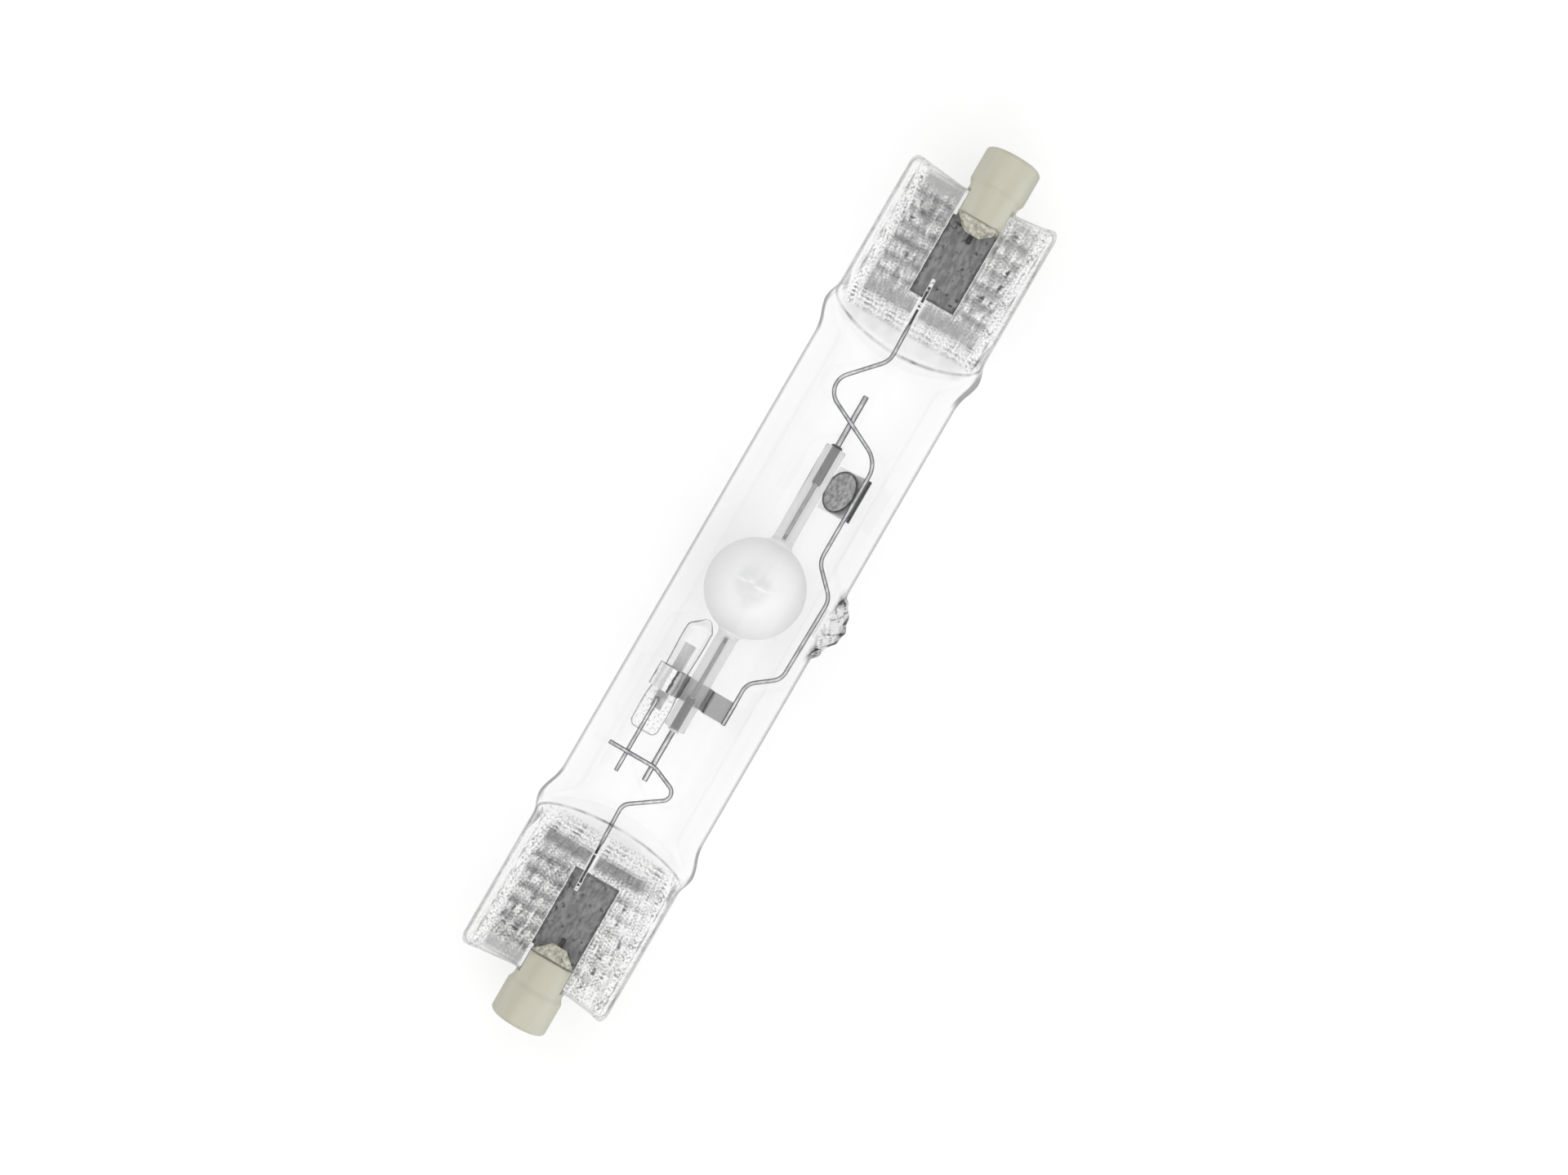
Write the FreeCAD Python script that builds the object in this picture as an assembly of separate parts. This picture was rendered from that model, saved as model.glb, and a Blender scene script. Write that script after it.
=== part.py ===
import FreeCAD, Part
import math
import os

# A double ended metal halide lamp with recessed contacts, lying on its quartz tube.
# X runs along the lamp, Z is up, and the pressed ends lie flat. The lamp is modelled about the
# tube's axis, and each piece is moved at the end so that the origin is under the middle of it.

# Driving dimensions, in millimetres and degrees
contact_distance = 114.2
contact_recess = 1.7

# Quartz envelope: tube, shoulders and pressed ends
tube_diameter = 19.0
tube_wall = 1.2
shoulder_width = 20.9
shoulder_rise = 3.0
shoulder_land = 1.0
shoulder_setback = 1.8
shoulder_stand = 0.02
slope_angle = 63.0
slope_foot_radius = 1.2
pinch_width = 19.7
pinch_length = 16.5
pinch_corner_radius = 1.4
rib_thickness = 4.6
rib_width = 2.4
rib_edge_radius = 1.1
ridge_length = 1.3
panel_thickness = 3.0
panel_shift = -0.25
panel_corner_radius = 1.2
panel_flare = 0.5
cavity_nose_radius = 0.5
cavity_nose_half_width = 7.6

# Sealed exhaust tip on the side of the tube
tip_x = 0.1
tip_reach = 11.55
tip_base_diameter = 8.6
tip_crown_diameter = 4.4
tip_crown_height = 0.9
tip_point_diameter = 1.4
tip_funnel_diameter = 2.4
tip_funnel_depth = 2.3

# Ceramic caps, cement and contacts
cap_offset = -0.9
cap_diameter = 7.2
cap_length = 4.6
cap_chamfer = 0.4
cheek_diameter = 6.5
cheek_length = 4.1
slot_depth = 3.2
slot_cement = 0.2
end_cement = 0.15
cement_reach = 1.85
cement_width = 5.9
cement_tip_width = 1.8
cement_height = 1.4
contact_hole_diameter = 3.2
contact_diameter = 2.7
contact_thickness = 0.8
contact_stem_diameter = 1.4
contact_stem_length = 1.6
contact_chamfer = 0.2

# Sealing foils, and the wires that are welded to them
foil_length = 10.5
foil_width = 6.0
foil_thickness = 0.05
foil_offset = -0.7
foil_setback = 2.6
outer_lead_diameter = 0.6
outer_lead_overlap = 2.3
wire_diameter = 0.52
wire_overlap = 2.5
weld_gap = 0.02
weld_flat = 0.04

# Route of the left current lead, measured from the end of the niobium rod
lead_weld_y = 0.85
lead_bend_y = 1.15
lead_bend_reach = 3.7
lead_turn_setback = 0.15
lead_turn_drop = 4.7
lead_cross_setback = 2.0
lead_cross_drop = 0.35
lead_end_beyond_aid = 1.0
lead_bend_radii = (1.5, 1.05, 3.0)

# Route of the long current lead, from the right foil round to the strap
frame_weld_y = 0.35
frame_bend_y = 0.05
frame_bend_reach = 5.0
frame_turn_setback = 1.05
frame_turn_rise = 5.25
frame_side_y = -4.65
frame_end_y = -4.4
frame_end_gap = 0.9
frame_wall_gap = 0.14
frame_swerve_ahead = 0.45
frame_swerve_length = 3.3
frame_return_behind = 1.65
frame_return_length = 2.5
frame_return_lean = 0.2
frame_bend_radii = (2.5, 2.2, 3.2, 2.4, 2.4, 2.0, 2.0)

# Ceramic arc tube and what runs through it
arc_tube_x = -0.35
arc_tube_y = 0.35
ball_diameter = 12.2
ball_wall = 0.8
ball_tapers = 9
capillary_diameter = 2.6
capillary_bore = 0.9
capillary_reach = 19.15
rod_diameter = 0.7
rod_protrusion = 7.05
feedthrough_diameter = 0.45
electrode_diameter = 0.4
electrode_length = 4.4
arc_gap = 6.0
coil_wire_diameter = 0.25
coil_turns = 5
coil_setback = 0.35
frit_depth_left = 4.15
frit_depth_right = 4.85
rod_beyond_frit = 0.15
frit_bead_diameter = 1.6
frit_bead_length = 0.35
dose_depth = 0.25

# Starting aid beside the left end of the arc tube
aid_gap = 0.35
aid_diameter = 3.2
aid_wall = 0.6
aid_left_x = -21.6
aid_right_x = -6.3
aid_pinch_width = 3.6
aid_pinch_thickness = 1.5
aid_pinch_length = 4.6
aid_tip_length = 1.7
aid_tip_diameter = 0.9
aid_crown_length = 0.6
aid_crown_diameter = 2.4
aid_slope_angle = 60.0
aid_foil_length = 8.6
aid_foil_width = 1.4
aid_foil_thickness = 0.04
aid_foil_setback = 3.1
aid_lead_overlap = 1.2
aid_lead_end_x = -27.2
aid_lead_shift = 0.25

# Metal strap that holds the starting aid
strap_x = -14.75
strap_width = 2.9
strap_thickness = 0.12
strap_end_beyond_wire = 0.3
strap_gap = 0.15
strap_side_gap = 0.65
strap_step_run = 0.45
strap_bend_radius = 0.5
strap_far_gap = 0.4
strap_corner_ease = 0.12

# Getter and its folded holder
getter_x = 14.6
getter_diameter = 5.3
getter_thickness = 0.5
getter_chamfer = 0.12
holder_width = 5.6
holder_thickness = 0.15
holder_angle = 48.0
holder_leg = 6.05
holder_flange = 1.9
holder_flange_lean = 0.1
holder_seat = 0.45
holder_fold_radius = 0.25

# How far a cutting shape runs past what it cuts, and how many flats stand for a round
# on what is thin, such as a wire, and on what is hidden
overshoot = 1.0
wire_flat_count = 8
hidden_flat_count = 12

# Values that follow from them
tube_radius = tube_diameter / 2
cavity_radius = tube_radius - tube_wall
wire_radius = wire_diameter / 2
rod_radius = rod_diameter / 2
ball_radius = ball_diameter / 2
capillary_radius = capillary_diameter / 2
aid_radius = aid_diameter / 2
lamp_half_length = contact_distance / 2 + contact_recess
cap_step_x = lamp_half_length - cap_length
cap_mouth_x = cap_step_x - cheek_length
slot_end_x = cap_mouth_x + slot_depth
pinch_end_x = slot_end_x - end_cement
panel_x = pinch_end_x - pinch_length
foot_x = panel_x - ridge_length
shoulder_x = foot_x - shoulder_setback
shoulder_start_x = shoulder_x - shoulder_land / 2 - shoulder_rise
foil_start_x = panel_x + foil_setback
foil_end_x = foil_start_x + foil_length
wire_z = foil_thickness / 2 + wire_radius - weld_flat
arc_tube_z = wire_z - wire_radius - weld_gap - rod_radius
rod_reach = capillary_reach + rod_protrusion
electrode_back_x = arc_gap / 2 + electrode_length
rod_left_x = arc_tube_x - rod_reach
rod_right_x = arc_tube_x + rod_reach
aid_lead_z = wire_z - wire_diameter - weld_gap
aid_z = aid_lead_z - wire_radius - aid_foil_thickness / 2 + weld_flat
aid_y = arc_tube_y + capillary_radius + aid_gap + aid_radius
frame_bypass_y = frame_wall_gap + wire_radius - cavity_radius
footprint_shift = (tip_reach - shoulder_width / 2) / 2

ORIGIN = FreeCAD.Vector(0, 0, 0)
ALONG = FreeCAD.Vector(1, 0, 0)
ACROSS = FreeCAD.Vector(0, 1, 0)
UP = FreeCAD.Vector(0, 0, 1)


def point(x, y, z=0.0):
    return FreeCAD.Vector(x, y, z)


def line(start, end):
    return Part.LineSegment(start, end).toShape()


def corner_arc(before, corner, after, radius):
    """Start, middle and end of the arc that rounds a corner."""
    to_before = (before - corner).normalize()
    to_after = (after - corner).normalize()
    half_angle = to_before.getAngle(to_after) / 2
    reach = radius / math.tan(half_angle)
    inward = (to_before + to_after).normalize()
    middle = corner + inward * (radius / math.sin(half_angle) - radius)
    return corner + to_before * reach, middle, corner + to_after * reach


def open_path(points, radii):
    """Straight runs joined by tangent arcs, with one radius for each inner point."""
    edges = []
    last = points[0]
    for index, radius in enumerate(radii, start=1):
        start, middle, end = corner_arc(points[index - 1], points[index], points[index + 1], radius)
        edges += [line(last, start), Part.Arc(start, middle, end).toShape()]
        last = end
    return edges + [line(last, points[-1])]


def closed_outline(corners):
    """A closed wire through (point, radius) corners. A radius of 0 leaves a sharp corner."""
    count = len(corners)
    rounded = []
    for index, (corner, radius) in enumerate(corners):
        before = corners[index - 1][0]
        after = corners[(index + 1) % count][0]
        rounded.append(corner_arc(before, corner, after, radius) if radius else (corner, None, corner))
    edges = []
    for index, (start, middle, end) in enumerate(rounded):
        if middle:
            edges.append(Part.Arc(start, middle, end).toShape())
        following = rounded[(index + 1) % count][0]
        if end.distanceToPoint(following) > 1e-6:
            edges.append(line(end, following))
    return Part.Wire(edges)


def extruded(outline, direction, length):
    """The outline's face, drawn out evenly to both sides of its plane."""
    solid = Part.Face(outline).extrude(direction * length)
    solid.translate(direction * (-length / 2))
    return solid


def cylinder(x_start, x_end, radius, y=0.0, z=0.0):
    start = min(x_start, x_end)
    return Part.makeCylinder(radius, abs(x_end - x_start), point(start, y, z), ALONG)


def block(x_start, x_end, width, height, y=0.0, z=0.0):
    start = min(x_start, x_end)
    corner = point(start, y - width / 2, z - height / 2)
    return Part.makeBox(abs(x_end - x_start), width, height, corner)


def flat_ring(middle, direction, diameter, flat_count=wire_flat_count):
    """A closed ring of flats whose corners lie on the circle."""
    spoke = direction.cross(UP).normalize() * (diameter / 2)
    turn = FreeCAD.Rotation(direction, 360 / flat_count)
    corners = []
    for corner in range(flat_count + 1):
        corners.append(middle + spoke)
        spoke = turn.multVec(spoke)
    return Part.makePolygon(corners)


def round_wire(points, radii, diameter):
    """A bent wire along straight runs and tangent arcs."""
    section = Part.Face(flat_ring(points[0], (points[1] - points[0]).normalize(), diameter))
    return Part.Wire(open_path(points, radii)).makePipe(section)


def thin_rod(x_start, x_end, diameter, y=0.0, z=0.0):
    """A straight rod along X."""
    start = min(x_start, x_end)
    section = Part.Face(flat_ring(point(start, y, z), ALONG, diameter))
    return section.extrude(ALONG * abs(x_end - x_start))


def thin_sleeve(x_start, x_end, outer, inner):
    """A close-fitting tube round a thin rod."""
    return thin_rod(x_start, x_end, outer).cut(thin_rod(x_start, x_end, inner))


def folded_sheet(points, radii, thickness, x_middle, width):
    """A strip of sheet metal whose folds are drawn in the YZ plane."""
    near_side, far_side = [], []
    for edge in open_path(points, radii):
        first, last = edge.ParameterRange
        for side, offset in ((near_side, thickness / 2), (far_side, -thickness / 2)):
            shifted = []
            for place in (first, (first + last) / 2, last):
                normal = edge.tangentAt(place).cross(ALONG)
                shifted.append(edge.valueAt(place) + normal * offset)
            straight = edge.Curve.TypeId == "Part::GeomLine"
            side.append((shifted[0], None if straight else shifted[1], shifted[2]))
    edges = []
    for start, middle, end in near_side:
        edges.append(Part.Arc(start, middle, end).toShape() if middle else line(start, end))
    edges.append(line(near_side[-1][2], far_side[-1][2]))
    for start, middle, end in reversed(far_side):
        edges.append(Part.Arc(end, middle, start).toShape() if middle else line(end, start))
    edges.append(line(far_side[0][0], near_side[0][0]))
    sheet = Part.Face(Part.Wire(edges)).extrude(ALONG * width)
    sheet.translate(point(x_middle - width / 2, 0, 0))
    return sheet


def turned_profile(corners, base=ORIGIN, axis=ALONG):
    """A solid of revolution from the corners of its straight-sided half section."""
    edges = [line(corners[i - 1], corners[i]) for i in range(len(corners))]
    return Part.Face(Part.Wire(edges)).revolve(base, axis, 360)


def pressed(body, top, foot, end, half_thickness, angle, foot_radius):
    """Presses the end of a round body flat. Slopes at the angle run down from the greatest
    half height, and meet the flats at the foot."""
    top_x = foot - (top - half_thickness) / math.tan(math.radians(angle))
    outline = closed_outline([
        (point(0, 0, top), 0),
        (point(top_x, 0, top), 0),
        (point(foot, 0, half_thickness), foot_radius),
        (point(end, 0, half_thickness), 0),
        (point(end, 0, -half_thickness), 0),
        (point(foot, 0, -half_thickness), foot_radius),
        (point(top_x, 0, -top), 0),
        (point(0, 0, -top), 0),
    ])
    width = 2 * (body.BoundBox.YMax + overshoot)
    return body.common(extruded(outline, ACROSS, width)).Solids[0]


def panel_recess():
    """The shallow pocket that the press leaves between the two ribs, open at the end."""
    half_width = pinch_width / 2 - rib_width
    outlines = []
    for z, spread in ((panel_thickness / 2, 0), (rib_thickness / 2, panel_flare)):
        start_x = panel_x - spread
        end_x = pinch_end_x + overshoot
        low_y = panel_shift - half_width - spread
        high_y = panel_shift + half_width + spread
        outlines.append(closed_outline([
            (point(start_x, low_y, z), panel_corner_radius),
            (point(end_x, low_y, z), 0),
            (point(end_x, high_y, z), 0),
            (point(start_x, high_y, z), panel_corner_radius),
        ]))
    return Part.makeLoft(outlines, True, True)


def corner_waste(side):
    """What is ground off one outer corner of the pressed end, seen from above."""
    radius = pinch_corner_radius
    middle = point(pinch_end_x - radius, side * (pinch_width / 2 - radius))
    width = radius + overshoot
    waste = block(middle.x, pinch_end_x + overshoot, width, tube_diameter, middle.y + side * width / 2)
    column = Part.makeCylinder(radius, 2 * tube_diameter, middle - UP * tube_diameter, UP)
    return waste.cut(column)


def envelope_half():
    """The right half of the outside: tube, shoulder and pressed end."""
    peak = shoulder_width / 2
    settle_x = foot_x + slope_foot_radius
    body = turned_profile([
        ORIGIN,
        point(0, tube_radius),
        point(shoulder_start_x, tube_radius),
        point(shoulder_x - shoulder_land / 2, peak),
        point(shoulder_x + shoulder_land / 2, peak),
        point(settle_x, pinch_width / 2),
        point(settle_x, 0),
    ])
    top = tube_radius + shoulder_stand
    body = pressed(body, top, foot_x, settle_x, rib_thickness / 2, slope_angle, slope_foot_radius)
    section = closed_outline([
        (point(foot_x, across * pinch_width / 2, up * rib_thickness / 2), rib_edge_radius)
        for across, up in ((1, 1), (1, -1), (-1, -1), (-1, 1))
    ])
    body = body.fuse(Part.Face(section).extrude(ALONG * (pinch_end_x - foot_x)))
    recess = panel_recess()
    return body.cut([corner_waste(1), corner_waste(-1), recess, recess.mirror(ORIGIN, UP)])


def cavity_half():
    """The right half of the space inside, down to its wedge between the pressed faces."""
    angle = math.radians(slope_angle)
    crest_x = foot_x - (tube_radius - rib_thickness / 2) / math.tan(angle)
    apex_x = crest_x - tube_wall / math.sin(angle) + tube_radius / math.tan(angle)
    body = turned_profile([
        ORIGIN,
        point(0, cavity_radius),
        point(shoulder_start_x, cavity_radius),
        point(shoulder_x - shoulder_land / 2, shoulder_width / 2 - tube_wall),
        point(foot_x, cavity_nose_half_width),
        point(foot_x, 0),
    ])
    top = cavity_radius + shoulder_stand
    top_x = apex_x - top / math.tan(angle)
    wedge = closed_outline([
        (point(-overshoot, 0, top), 0),
        (point(top_x, 0, top), 0),
        (point(apex_x, 0, 0), cavity_nose_radius),
        (point(top_x, 0, -top), 0),
        (point(-overshoot, 0, -top), 0),
    ])
    return body.common(extruded(wedge, ACROSS, 2 * tube_diameter)).Solids[0]


def both_halves(half):
    return half.fuse(half.mirror(ORIGIN, ALONG)).removeSplitter().Solids[0]


def exhaust_tip():
    """The nub left where the exhaust tube was melted off, drawn about its own axis."""
    base_y = -(tube_radius - tube_wall / 2)
    return turned_profile([
        point(tip_x, base_y),
        point(tip_x + tip_base_diameter / 2, base_y),
        point(tip_x + tip_crown_diameter / 2, tip_crown_height - tip_reach),
        point(tip_x + tip_point_diameter / 2, -tip_reach),
        point(tip_x, -tip_reach),
    ], point(tip_x, 0), ACROSS)


def tip_funnel():
    """The narrow mouth of the old exhaust tube, closed inside the tip."""
    mouth_y = -(cavity_radius - tube_wall / 2)
    return turned_profile([
        point(tip_x, mouth_y),
        point(tip_x + tip_funnel_diameter / 2, mouth_y),
        point(tip_x, mouth_y - tip_funnel_depth),
    ], point(tip_x, 0), ACROSS)


def make_envelope(embedded):
    """The quartz bulb in one piece, sealed round the foils and leads that it holds."""
    body = both_halves(envelope_half()).fuse(exhaust_tip())
    return body.cut([both_halves(cavity_half()), tip_funnel()]).cut(embedded)


def make_foil(side):
    return block(side * foil_start_x, side * foil_end_x, foil_width, foil_thickness, foil_offset)


def make_outer_lead(side, foil):
    """From the foil, out through the glass and cement to the contact in the cap."""
    start_x = side * (foil_end_x - outer_lead_overlap)
    end_x = side * (contact_distance / 2 - contact_thickness - contact_stem_length)
    height = foil_thickness / 2 + outer_lead_diameter / 2 - weld_flat
    return thin_rod(start_x, end_x, outer_lead_diameter, cap_offset, height).cut(foil)


def make_cap(side):
    """Turned ceramic cap: two cheeks straddle the pressed end, and the contact sits in a hole."""
    radius = cap_diameter / 2
    cap = turned_profile([
        point(cap_mouth_x, 0),
        point(cap_mouth_x, cheek_diameter / 2),
        point(cap_step_x, cheek_diameter / 2),
        point(cap_step_x, radius),
        point(lamp_half_length - cap_chamfer, radius),
        point(lamp_half_length, radius - cap_chamfer),
        point(lamp_half_length, 0),
    ])
    slot = block(cap_mouth_x - overshoot, slot_end_x, cap_diameter, panel_thickness + 2 * slot_cement)
    face_x = contact_distance / 2
    hole = cylinder(face_x, lamp_half_length + overshoot, contact_hole_diameter / 2)
    seat = cylinder(face_x - contact_thickness, lamp_half_length, contact_diameter / 2)
    stem_hole = cylinder(cap_mouth_x, lamp_half_length, contact_stem_diameter / 2)
    return at_cap(cap.cut([slot, hole, seat, stem_hole]), side)


def at_cap(shape, side):
    """Moves a shape drawn at the right end about the X axis to its place at either end."""
    turned_round = shape if side > 0 else shape.rotated(ORIGIN, UP, 180)
    return turned_round.translated(point(0, cap_offset))


def make_contact(side):
    """Metal contact: a flat button seated in the bottom of the hole, on a short stem."""
    face_x = contact_distance / 2
    floor_x = face_x - contact_thickness
    radius = contact_diameter / 2
    return at_cap(turned_profile([
        point(floor_x - contact_stem_length, 0),
        point(floor_x - contact_stem_length, contact_stem_diameter / 2),
        point(floor_x, contact_stem_diameter / 2),
        point(floor_x, radius),
        point(face_x - contact_chamfer, radius),
        point(face_x, radius - contact_chamfer),
        point(face_x, 0),
    ]), side)


def make_cement(side, neighbours):
    """Cement that fills the slot round the pressed end and runs out over the panel."""
    tip_x = cap_mouth_x - cement_reach
    top = panel_thickness / 2 + cement_height
    section = closed_outline([
        (point(cap_mouth_x, 0, top), 0),
        (point(tip_x, 0, panel_thickness / 2), 0),
        (point(tip_x, 0, -panel_thickness / 2), 0),
        (point(cap_mouth_x, 0, -top), 0),
    ])
    plan = closed_outline([
        (point(cap_mouth_x, cement_width / 2), 0),
        (point(tip_x, cement_tip_width / 2), 0),
        (point(tip_x, -cement_tip_width / 2), 0),
        (point(cap_mouth_x, -cement_width / 2), 0),
    ])
    run_out = extruded(section, ACROSS, cap_diameter).common(extruded(plan, UP, cap_diameter))
    slot_fill = cylinder(cap_mouth_x, slot_end_x, cheek_diameter / 2).common(
        block(cap_mouth_x, slot_end_x, cap_diameter, panel_thickness + 2 * slot_cement))
    return at_cap(run_out.fuse(slot_fill), side).cut(neighbours)


def make_lead_wire_left(foil):
    """The short current lead: off the left foil, round and across the end of the arc tube."""
    cross_x = rod_left_x + lead_cross_setback
    points = [
        point(-(foil_start_x + wire_overlap), lead_weld_y, wire_z),
        point(rod_left_x - lead_bend_reach, lead_bend_y, wire_z),
        point(rod_left_x + lead_turn_setback, arc_tube_y - lead_turn_drop, wire_z),
        point(cross_x, arc_tube_y - lead_cross_drop, wire_z),
        point(cross_x, aid_y + aid_radius + lead_end_beyond_aid, wire_z),
    ]
    return round_wire(points, lead_bend_radii, wire_diameter).cut(foil)


def make_frame_wire(foil):
    """The long current lead: off the right foil, across the arc tube and round behind the bulb."""
    swerve_x = arc_tube_x + ball_radius + frame_swerve_ahead
    return_x = arc_tube_x - ball_radius - frame_return_behind
    points = [
        point(foil_start_x + wire_overlap, frame_weld_y, wire_z),
        point(rod_right_x + frame_bend_reach, frame_bend_y, wire_z),
        point(rod_right_x - frame_turn_setback, arc_tube_y + frame_turn_rise, wire_z),
        point(arc_tube_x + capillary_reach + frame_end_gap, frame_side_y, wire_z),
        point(swerve_x, frame_side_y, wire_z),
        point(swerve_x - frame_swerve_length, frame_bypass_y, wire_z),
        point(return_x, frame_bypass_y + frame_return_lean, wire_z),
        point(return_x - frame_return_length, frame_end_y, wire_z),
        point(strap_x - strap_width / 2, frame_end_y, wire_z),
    ]
    return round_wire(points, frame_bend_radii, wire_diameter).cut(foil)


def in_arc_tube(shape, side=1):
    """Moves a shape drawn about the origin to the arc tube's place, turned round at its left end."""
    turned_round = shape if side > 0 else shape.rotated(ORIGIN, UP, 180)
    return turned_round.translated(point(arc_tube_x, arc_tube_y, arc_tube_z))


def make_arc_tube():
    """The translucent ceramic arc tube: a ball with a capillary each side, in one piece."""
    outside = turned_profile(ball_rim(ball_radius, capillary_radius) + [
        point(capillary_reach, capillary_radius),
        point(capillary_reach, 0),
        point(-capillary_reach, 0),
        point(-capillary_reach, capillary_radius),
    ])
    bore = cylinder(-capillary_reach, capillary_reach, capillary_bore / 2)
    return in_arc_tube(outside.cut([ball_cavity(), bore]))


def ball_rim(radius, neck_radius):
    """Points along a ball's half section between its necks, joined by short straight tapers."""
    start_angle = math.asin(neck_radius / radius)
    step = (math.pi - 2 * start_angle) / ball_tapers
    angles = [start_angle + index * step for index in range(ball_tapers + 1)]
    return [point(-math.cos(angle), math.sin(angle)) * radius for angle in angles]


def ball_cavity():
    """The space inside the ball, which opens into the bores of the capillaries."""
    rings = []
    for corner in ball_rim(ball_radius - ball_wall, capillary_bore / 2):
        rings.append(flat_ring(point(corner.x, 0), ALONG, 2 * corner.y, hidden_flat_count))
    faces = [Part.Face(rings[0]), Part.Face(rings[-1])]
    for ring, following in zip(rings, rings[1:]):
        for near, far in zip(ring.Edges, following.Edges):
            corners = [vertex.Point for vertex in near.Vertexes + far.Vertexes[::-1]]
            faces.append(Part.Face(Part.makePolygon(corners + corners[:1])))
    return Part.makeSolid(Part.makeShell(faces))


def frit_start_x(side):
    """Where the glass seal begins in the capillary at either end."""
    return capillary_reach - (frit_depth_right if side > 0 else frit_depth_left)


def make_niobium_rod(side):
    """The lead that carries the arc tube, sealed into the end of its capillary."""
    return in_arc_tube(thin_rod(frit_start_x(side) - rod_beyond_frit, rod_reach, rod_diameter), side)


def make_feedthrough(side):
    """The thinner heat-proof rod between the niobium and the electrode."""
    end_x = frit_start_x(side) - rod_beyond_frit
    return in_arc_tube(thin_rod(electrode_back_x, end_x, feedthrough_diameter), side)


def make_electrode(side):
    """Tungsten rod, from the feedthrough to its tip in the ball."""
    return in_arc_tube(thin_rod(arc_gap / 2, electrode_back_x, electrode_diameter), side)


def make_electrode_coil(side):
    """Close turns of tungsten wire behind the electrode's tip, drawn as one sleeve."""
    start_x = arc_gap / 2 + coil_setback
    end_x = start_x + coil_turns * coil_wire_diameter
    outer = electrode_diameter + 2 * coil_wire_diameter
    return in_arc_tube(thin_sleeve(start_x, end_x, outer, electrode_diameter), side)


def make_frit_seal(side):
    """Fused glass between rod and capillary, with a bead where it ran out."""
    bead_end = capillary_reach + frit_bead_length
    filling = thin_sleeve(frit_start_x(side), capillary_reach, capillary_bore, rod_diameter)
    bead = thin_sleeve(capillary_reach, bead_end, frit_bead_diameter, rod_diameter)
    return in_arc_tube(filling.fuse(bead), side)


def make_dose():
    """The metal halide salts, lying in the bottom of the ball when the lamp is cold."""
    cavity = ball_cavity()
    middle_z = cavity.BoundBox.ZMin + dose_depth / 2
    pool = block(-ball_radius, ball_radius, ball_diameter, dose_depth, 0, middle_z)
    return in_arc_tube(cavity.common(pool))


def make_aid_capsule(embedded):
    """Small quartz capsule with one pressed end and one melted tip, drawn from its tip."""
    length = aid_right_x - aid_left_x
    foot = length - aid_pinch_length
    body = turned_profile([
        ORIGIN,
        point(0, aid_tip_diameter / 2),
        point(aid_crown_length, aid_crown_diameter / 2),
        point(aid_tip_length, aid_radius),
        point(foot - aid_radius, aid_radius),
        point(foot, aid_pinch_width / 2),
        point(length, aid_pinch_width / 2),
        point(length, 0),
    ])
    top = aid_radius + shoulder_stand
    body = pressed(body, top, foot, length, aid_pinch_thickness / 2, aid_slope_angle, 0)
    hollow = cylinder(aid_tip_length, foot - aid_radius, aid_radius - aid_wall)
    capsule = body.cut(hollow).rotated(ORIGIN, UP, 180)
    return capsule.translated(point(aid_right_x, aid_y, aid_z)).cut(embedded)


def make_aid_foil():
    start_x = aid_left_x + aid_foil_setback
    return block(start_x, start_x + aid_foil_length, aid_foil_width, aid_foil_thickness, aid_y, aid_z)


def make_aid_lead(foil):
    """From the short current lead into the aid's pressed end, on the face of its foil."""
    end_x = aid_left_x + aid_foil_setback + aid_lead_overlap
    return thin_rod(aid_lead_end_x, end_x, wire_diameter, aid_y + aid_lead_shift, aid_lead_z).cut(foil)


def make_strap():
    """Sheet strap: from the frame wire behind the capillary and round the starting aid."""
    half = strap_thickness / 2
    wire_side_z = wire_z - wire_radius - half
    under_z = arc_tube_z - capillary_radius - strap_gap - half
    turn_y = arc_tube_y - capillary_radius - strap_side_gap
    under_y = turn_y + strap_step_run
    far_y = aid_y + aid_radius + strap_far_gap + half
    bottom_z = aid_z - aid_radius - strap_far_gap - half
    top_z = aid_z + aid_radius + strap_gap + half
    near_y = (arc_tube_y + capillary_radius + aid_y - aid_radius) / 2
    leg_z = under_z + (bottom_z - under_z) * (near_y - under_y) / (far_y - under_y)
    points = [
        point(0, frame_end_y - strap_end_beyond_wire, wire_side_z),
        point(0, turn_y, wire_side_z),
        point(0, under_y, under_z),
        point(0, far_y, bottom_z),
        point(0, far_y, top_z),
        point(0, near_y, top_z),
        point(0, near_y, leg_z + strap_thickness + weld_gap),
    ]
    corner_radius = aid_radius + strap_gap
    radii = [strap_bend_radius, strap_bend_radius]
    radii += [corner_radius - step * strap_corner_ease for step in range(3)]
    return folded_sheet(points, radii, strap_thickness, strap_x, strap_width)


def holder_place(along, above):
    """A point of the holder's slanting leg, measured from its fold and from its middle plane."""
    angle = math.radians(holder_angle)
    down = point(0, math.cos(angle), -math.sin(angle))
    out = point(0, math.sin(angle), math.cos(angle))
    wire = point(0, frame_side_y, wire_z)
    fold = wire - out * (wire_radius + holder_thickness / 2 + weld_gap) - down * holder_seat
    return fold + down * along + out * above


def make_getter_holder():
    """Folded sheet behind the frame wire: a slanting leg for the getter and a short flange."""
    fold = holder_place(0, 0)
    flange_end = fold + point(0, -holder_flange_lean, -holder_flange)
    points = [flange_end, fold, holder_place(holder_leg, 0)]
    return folded_sheet(points, [holder_fold_radius], holder_thickness, getter_x, holder_width)


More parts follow.
